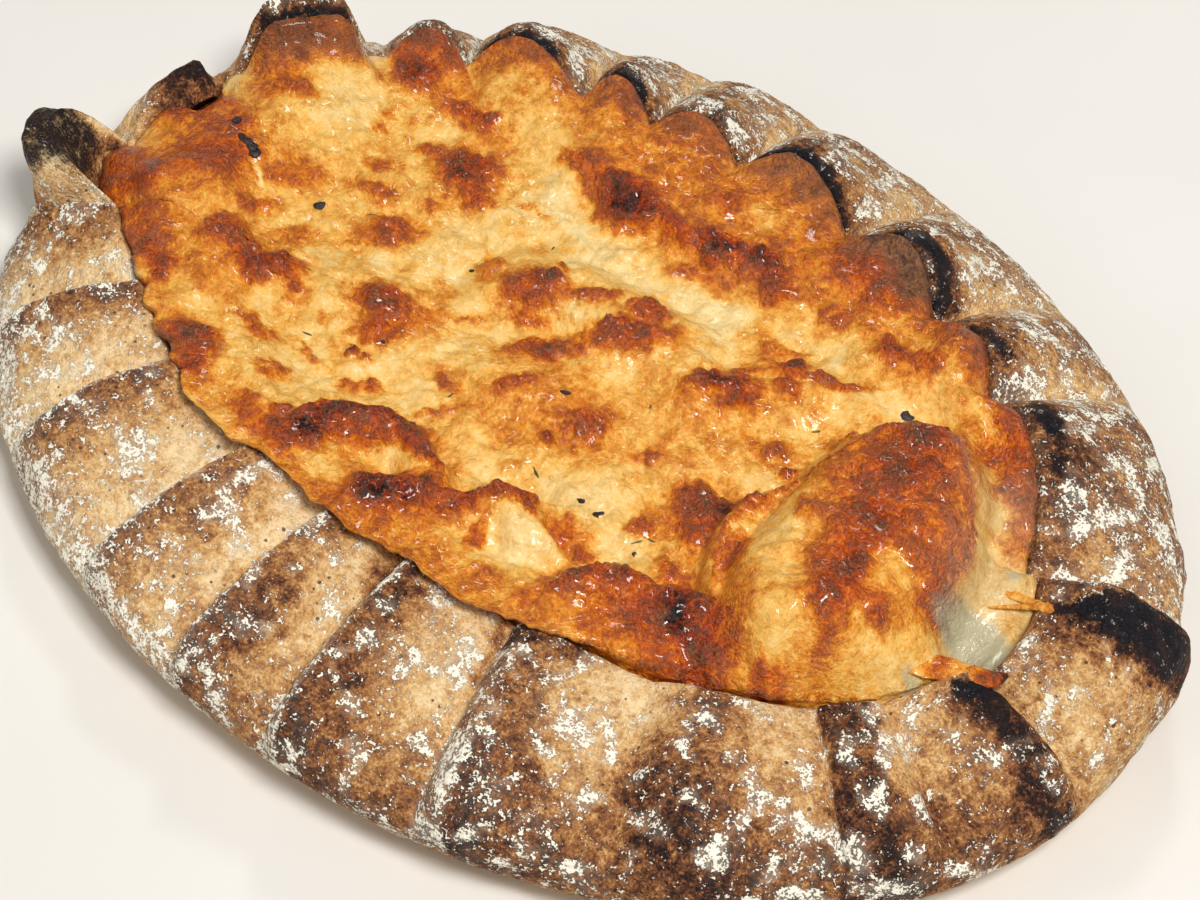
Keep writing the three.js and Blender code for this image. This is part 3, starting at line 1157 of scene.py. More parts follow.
    def wall(self, columns: Columns, share: np.ndarray, depth: Any) -> Profile:
        """The wall from the waist to the rim line, without ridges.

        Args:
            columns: The columns.
            share: Shares of the way up, in a column of rows.
            depth: How far inside the skin.

        Returns:
            The points.
        """
        turn = share * QUARTER
        tuck, full = self.tuck(columns), self.fullness.at(columns.angle)
        waist = self.waist.at(columns.angle)
        rim_inset, rim_height = self.rim(columns), self.rim_height.at(columns.angle)
        lift = columns.ridge * smoothstep(share, self.crest_from, 1.0)
        run = (rim_inset - tuck) * lerp(1.0 / QUARTER, np.sin(turn), full)
        climb = (rim_height - waist) * lerp(1.0 / QUARTER, np.cos(turn), full)
        slope = np.hypot(run, climb)
        inset = lerp(tuck, rim_inset, lerp(share, 1.0 - np.cos(turn), full))
        height = lerp(waist, rim_height, lerp(share, np.sin(turn), full))
        inset = inset + depth * climb / slope - columns.out * lift
        height = height - depth * run / slope + columns.up * lift
        return Profile(inset, height, np.zeros_like(inset))

    def skin(self, columns: Columns, share: np.ndarray, gap: float = 0.0, knobs: bool = True) -> Profile:
        """The outer skin of the wall, with its ridges.

        Args:
            columns: The columns.
            share: Shares of the way up, in a column of rows.
            gap: How far off the skin.
            knobs: Whether the knobs are on it.

        Returns:
            The points.
        """
        fading = lerp(1.0, self.rim_relief.at(columns.angle), smoothstep(share, *self.ridge_fall))
        ridge = columns.ridge * smoothstep(share, *self.ridge_rise) * fading
        knob = columns.knob * np.sqrt(columns.ridge) * smoothstep(share, *self.knob_rise)
        made = self.wall(columns, share, -(columns.height * ridge + (knob if knobs else 0.0)) - gap)
        made.slide = self.lean * columns.lean * ridge
        return made

    def edge(self, columns: Columns, share: Any, gap: float = 0.0, knobs: bool = True) -> Profile:
        """The rounded edge of the dough at the rim.

        Args:
            columns: The columns.
            share: Shares of the way from its outer side to its inner side.
            gap: How far off the dough.
            knobs: Whether the knobs are on it.

        Returns:
            The points.
        """
        top = np.ones((1, 1))
        made = self.skin(columns, top, 0.0, knobs).mixed(self.wall(columns, top, self.dough), share)
        made.inset = made.inset + self.nose * np.sin(share * math.pi) + gap
        return made

    def groove(self, columns: Columns, share: np.ndarray) -> np.ndarray:
        """Depth of the sharp crease between pleats, over the wall."""
        reach = window(share, self.groove_rise, self.groove_fall)
        return self.groove_depth * columns.cleft * bump(columns.crease, self.groove_width) * reach

    def make(self) -> bpy.types.Object:
        """The crust as a dressed piece."""
        return self.relief.apply(self.build().make(), "crust_shell", RyeCrustFinish().make())

    def build(self) -> RingMesh:
        """Makes the crust's rings and the marks of its finish.

        Returns:
            The crust's mesh, not yet made.
        """
        columns = self.columns()
        foot = np.linspace(0.0, 1.0, self.foot_rows)[:, None]
        wall = np.linspace(0.0, 1.0, self.wall_rows + 1)[1:, None]
        edge = np.linspace(0.0, 1.0, self.nose_rows + 2)[1:-1, None]
        lining = np.linspace(1.0, 0.0, self.lining_rows + 1)[:-1, None]
        floor = np.linspace(1.0, 0.0, self.floor_rows)[:, None]
        outer = self.skin(columns, wall)
        sunk = self.wall(columns, wall, 1.0)
        flat = self.wall(columns, wall, 0.0)
        groove = self.groove(columns, wall)
        outer.inset = outer.inset + (sunk.inset - flat.inset) * groove
        outer.height = outer.height + (sunk.height - flat.height) * groove
        sections = [
            self.foot(columns, foot, 0.0),
            outer,
            self.edge(columns, edge),
            self.wall(columns, lining, self.dough),
            self.foot(columns, floor, self.dough),
        ]
        rings = np.concatenate([self.place(columns, part) for part in sections])
        level = np.concatenate([foot - 1.0, wall, 1.0 + edge * 0.5, 2.5 - lining, 3.5 - floor])
        self._wobble(rings, columns, level)
        marks = self._marks(rings, columns, level)
        return RingMesh("crust_form", rings, (0.0, 0.0, 0.0), (0.0, 0.0, self.dough), marks)

    def _wobble(self, rings: np.ndarray, columns: Columns, level: np.ndarray) -> None:
        """Makes the outside uneven, as hands leave it, in place.

        Args:
            rings: The crust's points.
            columns: Its columns.
            level: Each row's place, as for the marks.
        """
        outside = window(level, self.wobble_rise, self.wobble_fall)
        lumps = self.wobble.at(rings) * outside
        rings[..., 0] += lumps * np.cos(columns.angle)
        rings[..., 1] += lumps * np.sin(columns.angle)
        rings[..., 2] += lumps * self.wobble_up

    def _marks(self, rings: np.ndarray, columns: Columns, level: np.ndarray) -> dict[Mark, np.ndarray]:
        """Works out toast, burn and flour over the crust.

        Args:
            rings: The crust's points.
            columns: Its columns.
            level: Each row's place: below 0 the foot, 0 to 1 the wall, then the edge and the lining.

        Returns:
            The values of each mark at each point.
        """
        to_back, to_right = np.sin(columns.angle), np.cos(columns.angle)
        front, back = smoothstep(-to_back, -0.1, 0.55), smoothstep(to_back, 0.0, 0.5)
        on_wall = window(level, self.marks_rise, self.marks_fall)
        low_wall = bump(level - 0.02, 0.34) * front
        inside = smoothstep(level, 1.05, 1.3)
        coarse = self.coarse.at(rings)
        middling = self.middling.at(rings)
        # Toast: the ridges' shaded sides, the low front wall, the rim at the back and the crest lines
        past = (columns.phase - columns.peak) * columns.run
        fall = np.clip((columns.phase - columns.peak) / (1.0 - columns.peak), 0.0, 1.0)
        near_ridge = 1.0 - smoothstep(fall + coarse * 0.2, 0.0, 0.75)
        shade = np.where(columns.phase < columns.peak, columns.ridge * 0.6, near_ridge)
        crest_line = np.where(past < 0.0, bump(past, 0.8), bump(past + middling * 0.6, 2.2)) * (1.0 - back)
        top_edge = smoothstep(level, 0.72, 0.95) * smoothstep(to_back, -0.25, 0.1)
        foot = lerp(*self.toast_foot, smoothstep(to_right, -0.6, 0.45)) * bump(level - 0.08, 0.42) * front
        right = smoothstep(to_right, 0.45, 0.9) * (0.6 + 0.4 * low_wall)
        toast = self.toast_ground + columns.toast * shade * on_wall + foot + back * self.toast_back
        toast = toast + inside * self.toast_inside + top_edge * self.toast_rim
        toast = toast + crest_line * (self.toast_crest + coarse * 0.24) * on_wall
        toast = toast + self.toast_right * right * on_wall
        toast = toast + coarse * 0.2 + middling * 0.12
        toast = toast - 0.5 * np.maximum(0.0, toast - self.toast_soft_from)
        # Burns: the crests of some pleats, then the strokes
        ragged = level + coarse * 0.1 + middling * 0.06 - 0.16 * (1.0 - columns.ridge)
        crest = smoothstep(ragged, columns.burn_from - 0.08, columns.burn_from + 0.08)
        crest = crest * (1.0 - smoothstep(level, 1.22, 1.45))
        burn = columns.burn * smoothstep(columns.ridge + coarse * 0.3, 0.2, 0.85) * crest
        bare = np.zeros(burn.shape)
        stray = coarse * 0.6 + middling * 0.5
        for stroke in BURNS + BROWNS:
            near = stroke.weight(rings, stray, self.stroke_halo)
            burn = np.maximum(burn, stroke.burn * stroke.weight(rings, stray))
            toast = np.maximum(toast, stroke.toast * near)
            bare = np.maximum(bare, min(1.0, stroke.burn * 1.6) * near)
        # Flour: in clusters, more of it low at the front left and on the ridges' crisp sides
        clusters = smoothstep(self.clusters.at(rings) + middling * 0.4, 0.0, 0.6)
        facet = smoothstep(-past, -0.2, 0.4) * (columns.peak < self.crisp_peak)
        dusty = lerp(*self.flour_foot, smoothstep(-to_right, -0.2, 0.5))
        flour = self.flour_ground + self.flour_clusters * clusters + dusty * low_wall
        flour = flour + self.flour_back * back + self.flour_facet * facet * on_wall + coarse * 0.2
        flour = flour * (1.0 - inside) * smoothstep(level, -1.2, -0.4)
        flour = flour * (1.0 - 0.7 * np.maximum(bare, burn))
        skin = (1.0 - 0.8 * inside) * smoothstep(level, -1.0, -0.5)
        values = {Mark.TOAST: toast, Mark.BURN: burn, Mark.FLOUR: flour, Mark.SKIN: skin}
        return {mark: np.broadcast_to(value, rings.shape[:2]).copy() for mark, value in values.items()}


# The filling


@dataclass(frozen=True)
class Swell:
    """A swell or dip of the top along a path in plan.

    On the left-hand side of its path, sharp makes it narrower and edge, if given, is its power.
    """

    path: tuple[tuple[float, float], ...]
    width: float
    height: float
    power: float
    sharp: float = 1.0
    edge: float = 0.0

    def rise(self, x: np.ndarray, y: np.ndarray) -> np.ndarray:
        """How much it adds to the top at places in plan.

        Args:
            x: Places along the oval.
            y: Places across it.

        Returns:
            The added height.
        """
        best, side = np.full(x.shape, np.inf), np.zeros(x.shape)
        for (from_x, from_y), (to_x, to_y) in zip(self.path[:-1], self.path[1:]):
            run_x, run_y = to_x - from_x, to_y - from_y
            share = ((x - from_x) * run_x + (y - from_y) * run_y) / (run_x**2 + run_y**2)
            nearest = np.clip(share, 0.0, 1.0)
            off_x, off_y = x - from_x - nearest * run_x, y - from_y - nearest * run_y
            left = smoothstep((run_x * off_y - run_y * off_x) / math.hypot(run_x, run_y), -0.4, 0.4)
            away = np.hypot(off_x, off_y) / lerp(1.0, self.sharp, left)
            side = np.where(away < best, left, side)
            best = np.minimum(best, away)
        power = lerp(self.power, self.edge or self.power, side)
        return self.height * np.exp(-((best / self.width) ** power))


FLAP_LEFT = (
    (-16.3, -22.6), (-16.2, -21), (-15.2, -19.4), (-12.5, -17.6), (-9.9, -16.5), (-6, -16.5),
    (-1.5, -17.8),
)
FLAP_MIDDLE = (
    (-6.5, -25.8), (-5.8, -23.2), (-3.3, -21.7), (-1, -20.1), (2, -19.1), (4, -17.2), (5.7, -15.6),
    (8.6, -16),
)
FLAP_RIGHT = (
    (15.9, -22.6), (16.6, -19.5), (18, -17.7), (19.9, -16.4), (22.3, -16.3), (26.1, -15.7), (27.9, -14),
    (31.5, -14.6),
)
MOUND_EDGE = (
    (27, -12), (25.9, -10.4), (24.5, -8), (23.8, -5.5), (24.2, -2.8), (25.2, 0.4), (26.6, 3.6),
    (28.2, 6.4), (30.4, 10.4),
)
MOUND_RIGHT = ((34.4, 14), (36.4, 13.4), (40, 10.4), (42.8, 7.6), (44.4, 3.8), (44.4, -2))
MOUND_BAND = ((33.8, 11.8), (34.5, 5), (35.3, -0.5), (36.8, -5.4), (38.1, -8.2), (39.2, -10))
MOUND_BACK = ((29.4, 10.4), (31.2, 11.8), (34.4, 13.8))
FRONT_BORDER = ((-43, -9), (-36, -16.5), (-26, -22.5), (-10, -26), (10, -27), (28, -22.5), (40, -14))
SWELLS = (
    Swell(((37, -6), (36.6, 5.4)), 10.5, 7.6, 4, 1.04, 7),
    Swell(FRONT_BORDER, 6, 2.1, 4),
    Swell(((-24, 30), (24, 29)), 10.5, 1.8, 6),
    Swell(((30, 25), (42, 16)), 5, 2.2, 3),
    Swell(((-45, 10), (-47, -4)), 7, 1.8, 2),
    Swell(((-12, 5), (-7, 8.5), (5, 10)), 4, 1.7, 3),
    Swell(((-4, -5), (0, 3)), 4.5, 1.2, 2),
    Swell(((9.5, 6), (22, 15.5)), 3, 1.6, 2),
    Swell(((-33, -9), (-19, -5)), 4.5, 1.1, 2),
    Swell(((-25, 20), (-9, 15.5), (5, 15.5)), 3.5, -0.8, 2),
    Swell(((45.5, 9), (48.5, 1)), 4, -4.0, 2),
    Swell(((46, 5), (44.6, 9), (42.2, 12.4), (39.6, 15.2), (36.8, 17.6)), 2.8, -3.2, 2.5, 0.6),
)
# Flaps of skin that stand at least this high over the level, steep at the back, and their dark edges
CRESTS = (
    Swell(FLAP_LEFT, 4.2, 2.6, 3, 0.3),
    Swell(FLAP_MIDDLE, 4.0, 2.6, 3, 0.32),
    Swell(FLAP_RIGHT, 4.6, 2.8, 3, 0.32),
    Swell(MOUND_EDGE[:7], 3.6, 3.4, 3, 0.35),
    Swell(MOUND_RIGHT, 4.0, 4.0, 3, 0.3),
)
EDGES = (
    Swell(FLAP_LEFT, 0.7, 0.82, 2.0, 0.6),
    Swell(FLAP_MIDDLE[1:], 0.7, 0.76, 2.0, 0.6),
    Swell(FLAP_RIGHT, 0.6, 0.7, 2.0, 0.6),
    Swell(MOUND_EDGE, 0.6, 0.6, 2.0, 0.6),
    Swell(MOUND_RIGHT, 1.6, 0.62, 2.0, 0.3),
    Swell(MOUND_BAND, 2.6, 0.7, 2.0),
    Swell(MOUND_BACK, 1.3, 0.78, 2.0),
)


@dataclass(frozen=True)
class Patch:
    """A baked place on the top, in plan: its middle, half-sizes, turn and tone, 0 pale to 1 black."""

    x: float
    y: float
    long: float
    wide: float
    turn: float
    tone: float


# Patches by the part of the top that they lie on, large ones first and the small ones on them last
BROAD = (
    Patch(0, 28, 30, 6.5, 0, 0.47), Patch(-46, -3, 8, 6, 60, 0.52), Patch(-35.5, -13.4, 4, 3, 10, 0.4),
    Patch(-44, -13, 4, 3.5, -50, 0.48), Patch(0, -26.5, 26, 3.2, 0, 0.45),
    Patch(-33, -22, 8, 3, -35, 0.42), Patch(36, 2, 12, 9, 100, 0.56), Patch(24, -19, 9, 5, 20, 0.55),
    Patch(39, -13, 5, 4, 40, 0.36), Patch(1, -5, 10, 6, 30, 0.42), Patch(-36, 6, 9, 8, 20, 0.28),
    Patch(14, 3, 7, 5, 30, 0.36), Patch(40, 18, 6, 4, -50, 0.5), Patch(-12, 16.2, 11, 2.4, -14, 0.06),
    Patch(4, 15.4, 5, 2.2, 5, 0.08), Patch(25, 17, 5, 1.6, 25, 0.12), Patch(-14, -14, 8, 4, 30, 0.14),
    Patch(-24, -18, 6, 3, -20, 0.16), Patch(11, -11, 6, 4, 20, 0.13), Patch(17, -13, 6, 2.2, 10, 0.16),
    Patch(-20, 6, 7, 3.5, 30, 0.17), Patch(-41, 13, 5, 5, 0, 0.17), Patch(9.5, -19, 3.5, 3, 30, 0.12),
    Patch(45, 4, 2.4, 9, 15, 0.12), Patch(44.5, -8, 3.5, 3, 40, 0.18), Patch(42, 12, 2.5, 4, 20, 0.16),
)
LEFT_END = (
    Patch(-45.5, -2, 4.5, 3, 45, 0.66), Patch(-49, -8.5, 2.4, 1.8, 60, 0.78),
    Patch(-49.4, -9, 1.1, 0.9, 0, 0.88), Patch(-47, 2.4, 2.2, 1.8, 20, 0.66),
    Patch(-44, -4.2, 2.0, 1.6, 30, 0.66), Patch(-38.6, 2.0, 3.6, 1.8, 20, 0.55),
    Patch(-40.6, 0.0, 1.9, 0.45, -26, 0.0), Patch(-38.5, -3.6, 2.2, 1.0, 45, 0.6),
    Patch(-38, -8.6, 2.6, 1.7, 35, 0.68), Patch(-33.3, -3.6, 2.6, 1.2, 40, 0.5),
    Patch(-48, 10, 3.5, 2.5, 60, 0.52), Patch(-45, 10.4, 1.6, 1.2, 20, 0.6),
    Patch(-36.6, 12.6, 1.2, 1.0, 0, 0.5), Patch(-33.4, 9.2, 1.8, 1.0, 10, 0.52),
    Patch(-31, 6, 2.4, 1.1, 20, 0.58), Patch(-26.5, 2.7, 3.2, 2.1, 45, 0.64),
    Patch(-43.5, -14.6, 1.8, 1.3, 30, 0.7), Patch(-41, -15.3, 3.0, 1.1, 10, 0.74),
    Patch(-39.6, -16.6, 1.4, 1.0, -50, 0.72), Patch(-44.4, -16.2, 1.2, 1.0, 0, 0.86),
)
LEFT = (
    Patch(-31, -20.8, 3.2, 1.8, 10, 0.76), Patch(-29, -22.4, 2.2, 1.6, -40, 0.68),
    Patch(-28.6, -23.6, 1.2, 0.9, 20, 0.85), Patch(-32.2, -8.7, 4.2, 2.1, 10, 0.74),
    Patch(-32.4, -8.4, 1.6, 1.0, 20, 0.84), Patch(-19.8, -4.8, 3.4, 2.2, 20, 0.74),
    Patch(-18.2, -7.6, 2.4, 1.6, 50, 0.68), Patch(-17, -3.4, 2.4, 1.8, 20, 0.55),
    Patch(-28.2, -15, 2.4, 1.3, 0, 0.6), Patch(-25.6, -14.4, 1.4, 0.5, -50, 0.5),
    Patch(-21.8, -13.6, 1.7, 0.6, 10, 0.54), Patch(-23.5, -9.5, 1.1, 0.9, 0, 0.44),
    Patch(-20.7, -9, 1.1, 0.9, 0, 0.48), Patch(-18.5, -11.3, 0.7, 0.5, 0, 0.8),
    Patch(-22.5, -18.5, 1.7, 0.9, 20, 0.54), Patch(-15.4, -13.4, 2.6, 0.9, 35, 0.58),
    Patch(-20.5, -24.2, 2.7, 1.5, -40, 0.58), Patch(-17.4, -24.4, 1.7, 1.4, 0, 0.74),
    Patch(-18.4, -22.2, 1.4, 0.9, 45, 0.68),
)
FLAPS = (
    Patch(-11, -18.6, 5.0, 2.4, 25, 0.7), Patch(-14.2, -20, 2.8, 1.6, 60, 0.84),
    Patch(-10.5, -16.6, 3.8, 1.1, 30, 0.84), Patch(-6, -16.4, 2.8, 1.1, -15, 0.8),
    Patch(-14.6, -22.6, 1.5, 1.1, 30, 0.92), Patch(-6.2, -19.6, 3.4, 1.1, 15, 0.2),
    Patch(-11, -24.4, 2.6, 1.5, 10, 0.18), Patch(-2.2, -21.6, 5.0, 1.8, 30, 0.72),
    Patch(-4.6, -23.8, 2.6, 1.9, 20, 0.84), Patch(-4.0, -23.8, 1.3, 0.7, 0, 0.96),
    Patch(-1.8, -22.2, 1.1, 0.8, 20, 0.92), Patch(2.6, -19.8, 1.6, 1.1, 30, 0.8),
    Patch(5.6, -20.8, 0.8, 2.0, 20, 0.58), Patch(5.2, -15.6, 2.8, 1.2, 20, 0.78),
    Patch(-15.6, -24.6, 1.8, 1.2, 0, 0.7), Patch(10, -24.2, 1.8, 1.2, 10, 0.5),
)
FRONT_RIGHT = (
    Patch(11.2, -14.8, 2.0, 1.5, 30, 0.6), Patch(13.8, -16.0, 1.0, 0.8, 0, 0.7),
    Patch(17.5, -19.2, 4.2, 1.8, 40, 0.7), Patch(16, -18.8, 1.5, 1.0, 20, 0.8),
    Patch(19.8, -16.4, 1.7, 1.0, 20, 0.8), Patch(21.2, -14.8, 1.3, 1.0, 0, 0.66),
    Patch(14.6, -23.6, 2.0, 1.3, 20, 0.54), Patch(24.4, -18.4, 2.0, 1.6, 0, 0.72),
    Patch(27.6, -16.2, 3.8, 2.4, 0, 0.8), Patch(31.4, -17.2, 2.4, 1.6, -20, 0.78),
    Patch(26.9, -16.6, 2.1, 0.9, -35, 0.95), Patch(31.5, -20, 2.0, 1.3, 0, 0.74),
    Patch(28, -20.6, 3.0, 1.2, 10, 0.62), Patch(22.2, -11.7, 2.0, 1.2, 0, 0.62),
    Patch(24.2, -11.6, 1.2, 0.9, -30, 0.58), Patch(16, -9.3, 2.1, 1.3, 35, 0.62),
    Patch(20.4, -4.2, 4.0, 2.2, 20, 0.7), Patch(22.2, -2.8, 2.8, 1.2, 20, 0.88),
    Patch(21, -6.6, 1.7, 2.2, 30, 0.7), Patch(18, -3.6, 1.7, 1.4, 0, 0.76),
    Patch(36, -14, 2.2, 1.4, 30, 0.5), Patch(37.5, -17, 1.6, 1.2, 0, 0.64),
)
MIDDLE = (
    Patch(-9.8, 6.2, 3.3, 2.0, 45, 0.66), Patch(-9.4, 7.0, 1.4, 0.9, 45, 0.76),
    Patch(-5, 8.2, 2.8, 1.0, 35, 0.64), Patch(-8.2, 3.4, 1.9, 1.4, 0, 0.58),
    Patch(-9.4, 10.0, 1.3, 0.6, 10, 0.6), Patch(-15.6, 5.8, 1.6, 2.1, 30, 0.54),
    Patch(0.8, 10.6, 1.8, 1.5, 45, 0.74), Patch(1.8, 7.4, 4.2, 1.5, 40, 0.74),
    Patch(-0.4, 6.2, 1.8, 0.9, 40, 0.82), Patch(-2, 3.4, 6.0, 1.2, 42, 0.58),
    Patch(-5, 0.8, 3.4, 0.9, 35, 0.64), Patch(-4.5, 0.6, 1.1, 0.8, 45, 0.8),
    Patch(-3.8, -4.8, 1.1, 2.4, -30, 0.62), Patch(-7.6, -11, 0.8, 2.4, -40, 0.54),
    Patch(-9.4, -7.6, 1.8, 0.7, -20, 0.54), Patch(4.3, -3.6, 2.3, 2.1, 0, 0.64),
    Patch(2.3, -7.4, 0.7, 0.6, 0, 0.82), Patch(11.4, -2.2, 1.9, 0.9, 30, 0.58),
    Patch(-12.5, -0.3, 1.8, 0.7, 30, 0.5), Patch(11.8, 7.6, 3.6, 1.7, 35, 0.76),
    Patch(12, 7.6, 1.4, 0.9, 20, 0.86), Patch(12.3, 11, 1.8, 0.8, 45, 0.6),
    Patch(15.6, 14.0, 2.0, 1.2, 30, 0.82), Patch(20, 15.2, 3.6, 0.9, 30, 0.7),
    Patch(17, 11.6, 1.5, 1.2, 0, 0.64), Patch(13.3, 16, 2.2, 1.0, 10, 0.54),
    Patch(20.2, 6, 2.4, 1.1, 40, 0.56), Patch(23.2, 4.4, 0.8, 0.7, 0, 0.74),
)
BACK = (
    Patch(-38, 20.6, 2.8, 2.2, 0, 0.8), Patch(-30, 19.8, 3.8, 1.3, 0, 0.7),
    Patch(-25.6, 14.4, 3.2, 2.7, 10, 0.76), Patch(-29.8, 13.8, 2.2, 1.2, 10, 0.6),
    Patch(-22.6, 11.6, 1.7, 1.5, 0, 0.68), Patch(-24.6, 12.8, 1.2, 1.0, 0, 0.85),
    Patch(-36.4, 14.6, 0.9, 0.8, 0, 0.54), Patch(-25.4, 8.6, 1.3, 0.9, 0, 0.5),
    Patch(-17.4, 14.2, 2.4, 0.5, 5, 0.42), Patch(-16.2, 21.4, 2.8, 1.8, -10, 0.6),
    Patch(-10, 20.4, 4.0, 2.5, -5, 0.82), Patch(-9.4, 19.6, 1.9, 1.3, 0, 0.9),
    Patch(-4.4, 20.6, 3.2, 1.2, -10, 0.72), Patch(2, 21, 5.0, 1.6, 5, 0.74),
    Patch(0.6, 21.6, 1.2, 0.8, 0, 0.88), Patch(2.6, 21.6, 1.0, 0.8, 0, 0.9),
    Patch(5.8, 22.4, 2.2, 1.5, 20, 0.86), Patch(8.4, 21.2, 2.0, 1.3, 0, 0.74),
    Patch(0.4, 17.8, 2.6, 0.9, 20, 0.58), Patch(-2, 26.6, 2.2, 1.3, 20, 0.64),
    Patch(2.6, 27.4, 2.2, 2.0, 0, 0.3), Patch(15.4, 21.6, 1.5, 1.2, 0, 0.6),
    Patch(22.4, 21.4, 2.2, 1.1, -30, 0.74), Patch(25.6, 22, 1.8, 1.5, 0, 0.62),
    Patch(15.5, 28, 5.0, 3.2, 10, 0.7),
)
MOUND = (
    Patch(29, -4.4, 4.2, 5.5, -20, 0.13), Patch(33, -9.4, 3.0, 2.6, 0, 0.2),
    Patch(36.5, -13.5, 3.0, 2.2, 30, 0.2), Patch(26.2, -8, 1.6, 3.0, 20, 0.6),
    Patch(31, -1.4, 1.8, 1.5, 0, 0.54), Patch(34.2, 7.2, 6.0, 4.4, 70, 0.68),
    Patch(36.4, -1.0, 3.4, 5.4, -10, 0.68), Patch(38.4, -8, 2.2, 4.2, 15, 0.74),
    Patch(33.2, 11.4, 2.6, 1.4, 20, 0.78), Patch(35.6, 7.6, 2.6, 1.4, 30, 0.76),
    Patch(36.2, 1, 1.8, 1.4, 0, 0.77), Patch(37.6, -5, 1.4, 2.2, 10, 0.78),
    Patch(42.2, 3, 2.6, 4.4, 10, 0.6), Patch(44, -0.4, 1.5, 2.6, 10, 0.68),
    Patch(40.6, -2.6, 2.4, 1.8, -30, 0.3), Patch(42.2, -6.6, 1.7, 1.2, 0, 0.62),
    Patch(25.8, 9.4, 1.2, 1.0, 20, 0.84), Patch(29.8, 9.0, 2.2, 1.0, 20, 0.6),
    Patch(38.6, 15.8, 3.4, 1.3, -45, 0.2), Patch(43.6, 9.8, 1.4, 3.2, 10, 0.18),
    Patch(41.6, 12.8, 2.6, 1.2, -50, 0.16), Patch(42.4, 17.2, 1.9, 3.4, -20, 0.76),
    Patch(37.2, 18.2, 2.2, 1.4, -30, 0.64), Patch(39.2, 19, 1.8, 1.3, 0, 0.58),
)
PATCHES = BROAD + LEFT_END + LEFT + FLAPS + FRONT_RIGHT + MIDDLE + BACK + MOUND


@dataclass(frozen=True)
class EdgePlace:
    """Where the filling ends at an angle: how far inside the rim line, or over it if below 0."""

    angle: float
    inward: float


EDGE_PLACES = (
    EdgePlace(5, 1.3), EdgePlace(20, 0.4), EdgePlace(60, 0.4), EdgePlace(120, 0.4), EdgePlace(180, 0.4),
    EdgePlace(198, 0.8), EdgePlace(212, 0.3), EdgePlace(223, -0.2), EdgePlace(232, 0.3),
    EdgePlace(243, -1.8), EdgePlace(249, -2.0), EdgePlace(252, -0.5), EdgePlace(261, -1.6),
    EdgePlace(267, -2.2), EdgePlace(272, -1.0), EdgePlace(281, -2.2), EdgePlace(286, -1.1),
    EdgePlace(294, -0.1), EdgePlace(304, 0.5), EdgePlace(311, 1.0), EdgePlace(317, 0.2),
    EdgePlace(323, 0.0), EdgePlace(330, 0.7), EdgePlace(342, 0.9), EdgePlace(353, 1.3),
)
SUNKEN = (Stretch(2.0, 9.0, 0.8, 3.4), Stretch(173.0, 6.0, 2.4, 1.0))


@dataclass(frozen=True)
class Damp:
    """A damp grey place on the top, in plan: its middle, half-size, squeeze, fray and strength."""

    x: float
    y: float
    size: float
    squeeze: float = 1.0
    fray: float = 0.0
    strength: float = 1.0

    def weight(self, x: np.ndarray, y: np.ndarray, stray: np.ndarray) -> np.ndarray:
        """How damp it makes places in plan, with random values to fray its border."""
        away = np.hypot(x - self.x, (y - self.y) * self.squeeze) + stray * self.fray
        return self.strength * bump(away, self.size)


PIT = (Damp(48.6, 1.4, 3.0, fray=0.8), Damp(47.2, -7.6, 1.1), Damp(47.2, 8.2, 1.3, strength=0.8))
DAMP_SKIN = (Damp(46.6, 5.6, 3.6, 0.75, 1.0, 0.42), Damp(42.6, 13.0, 3.4, 0.8, 0.7, 0.28))


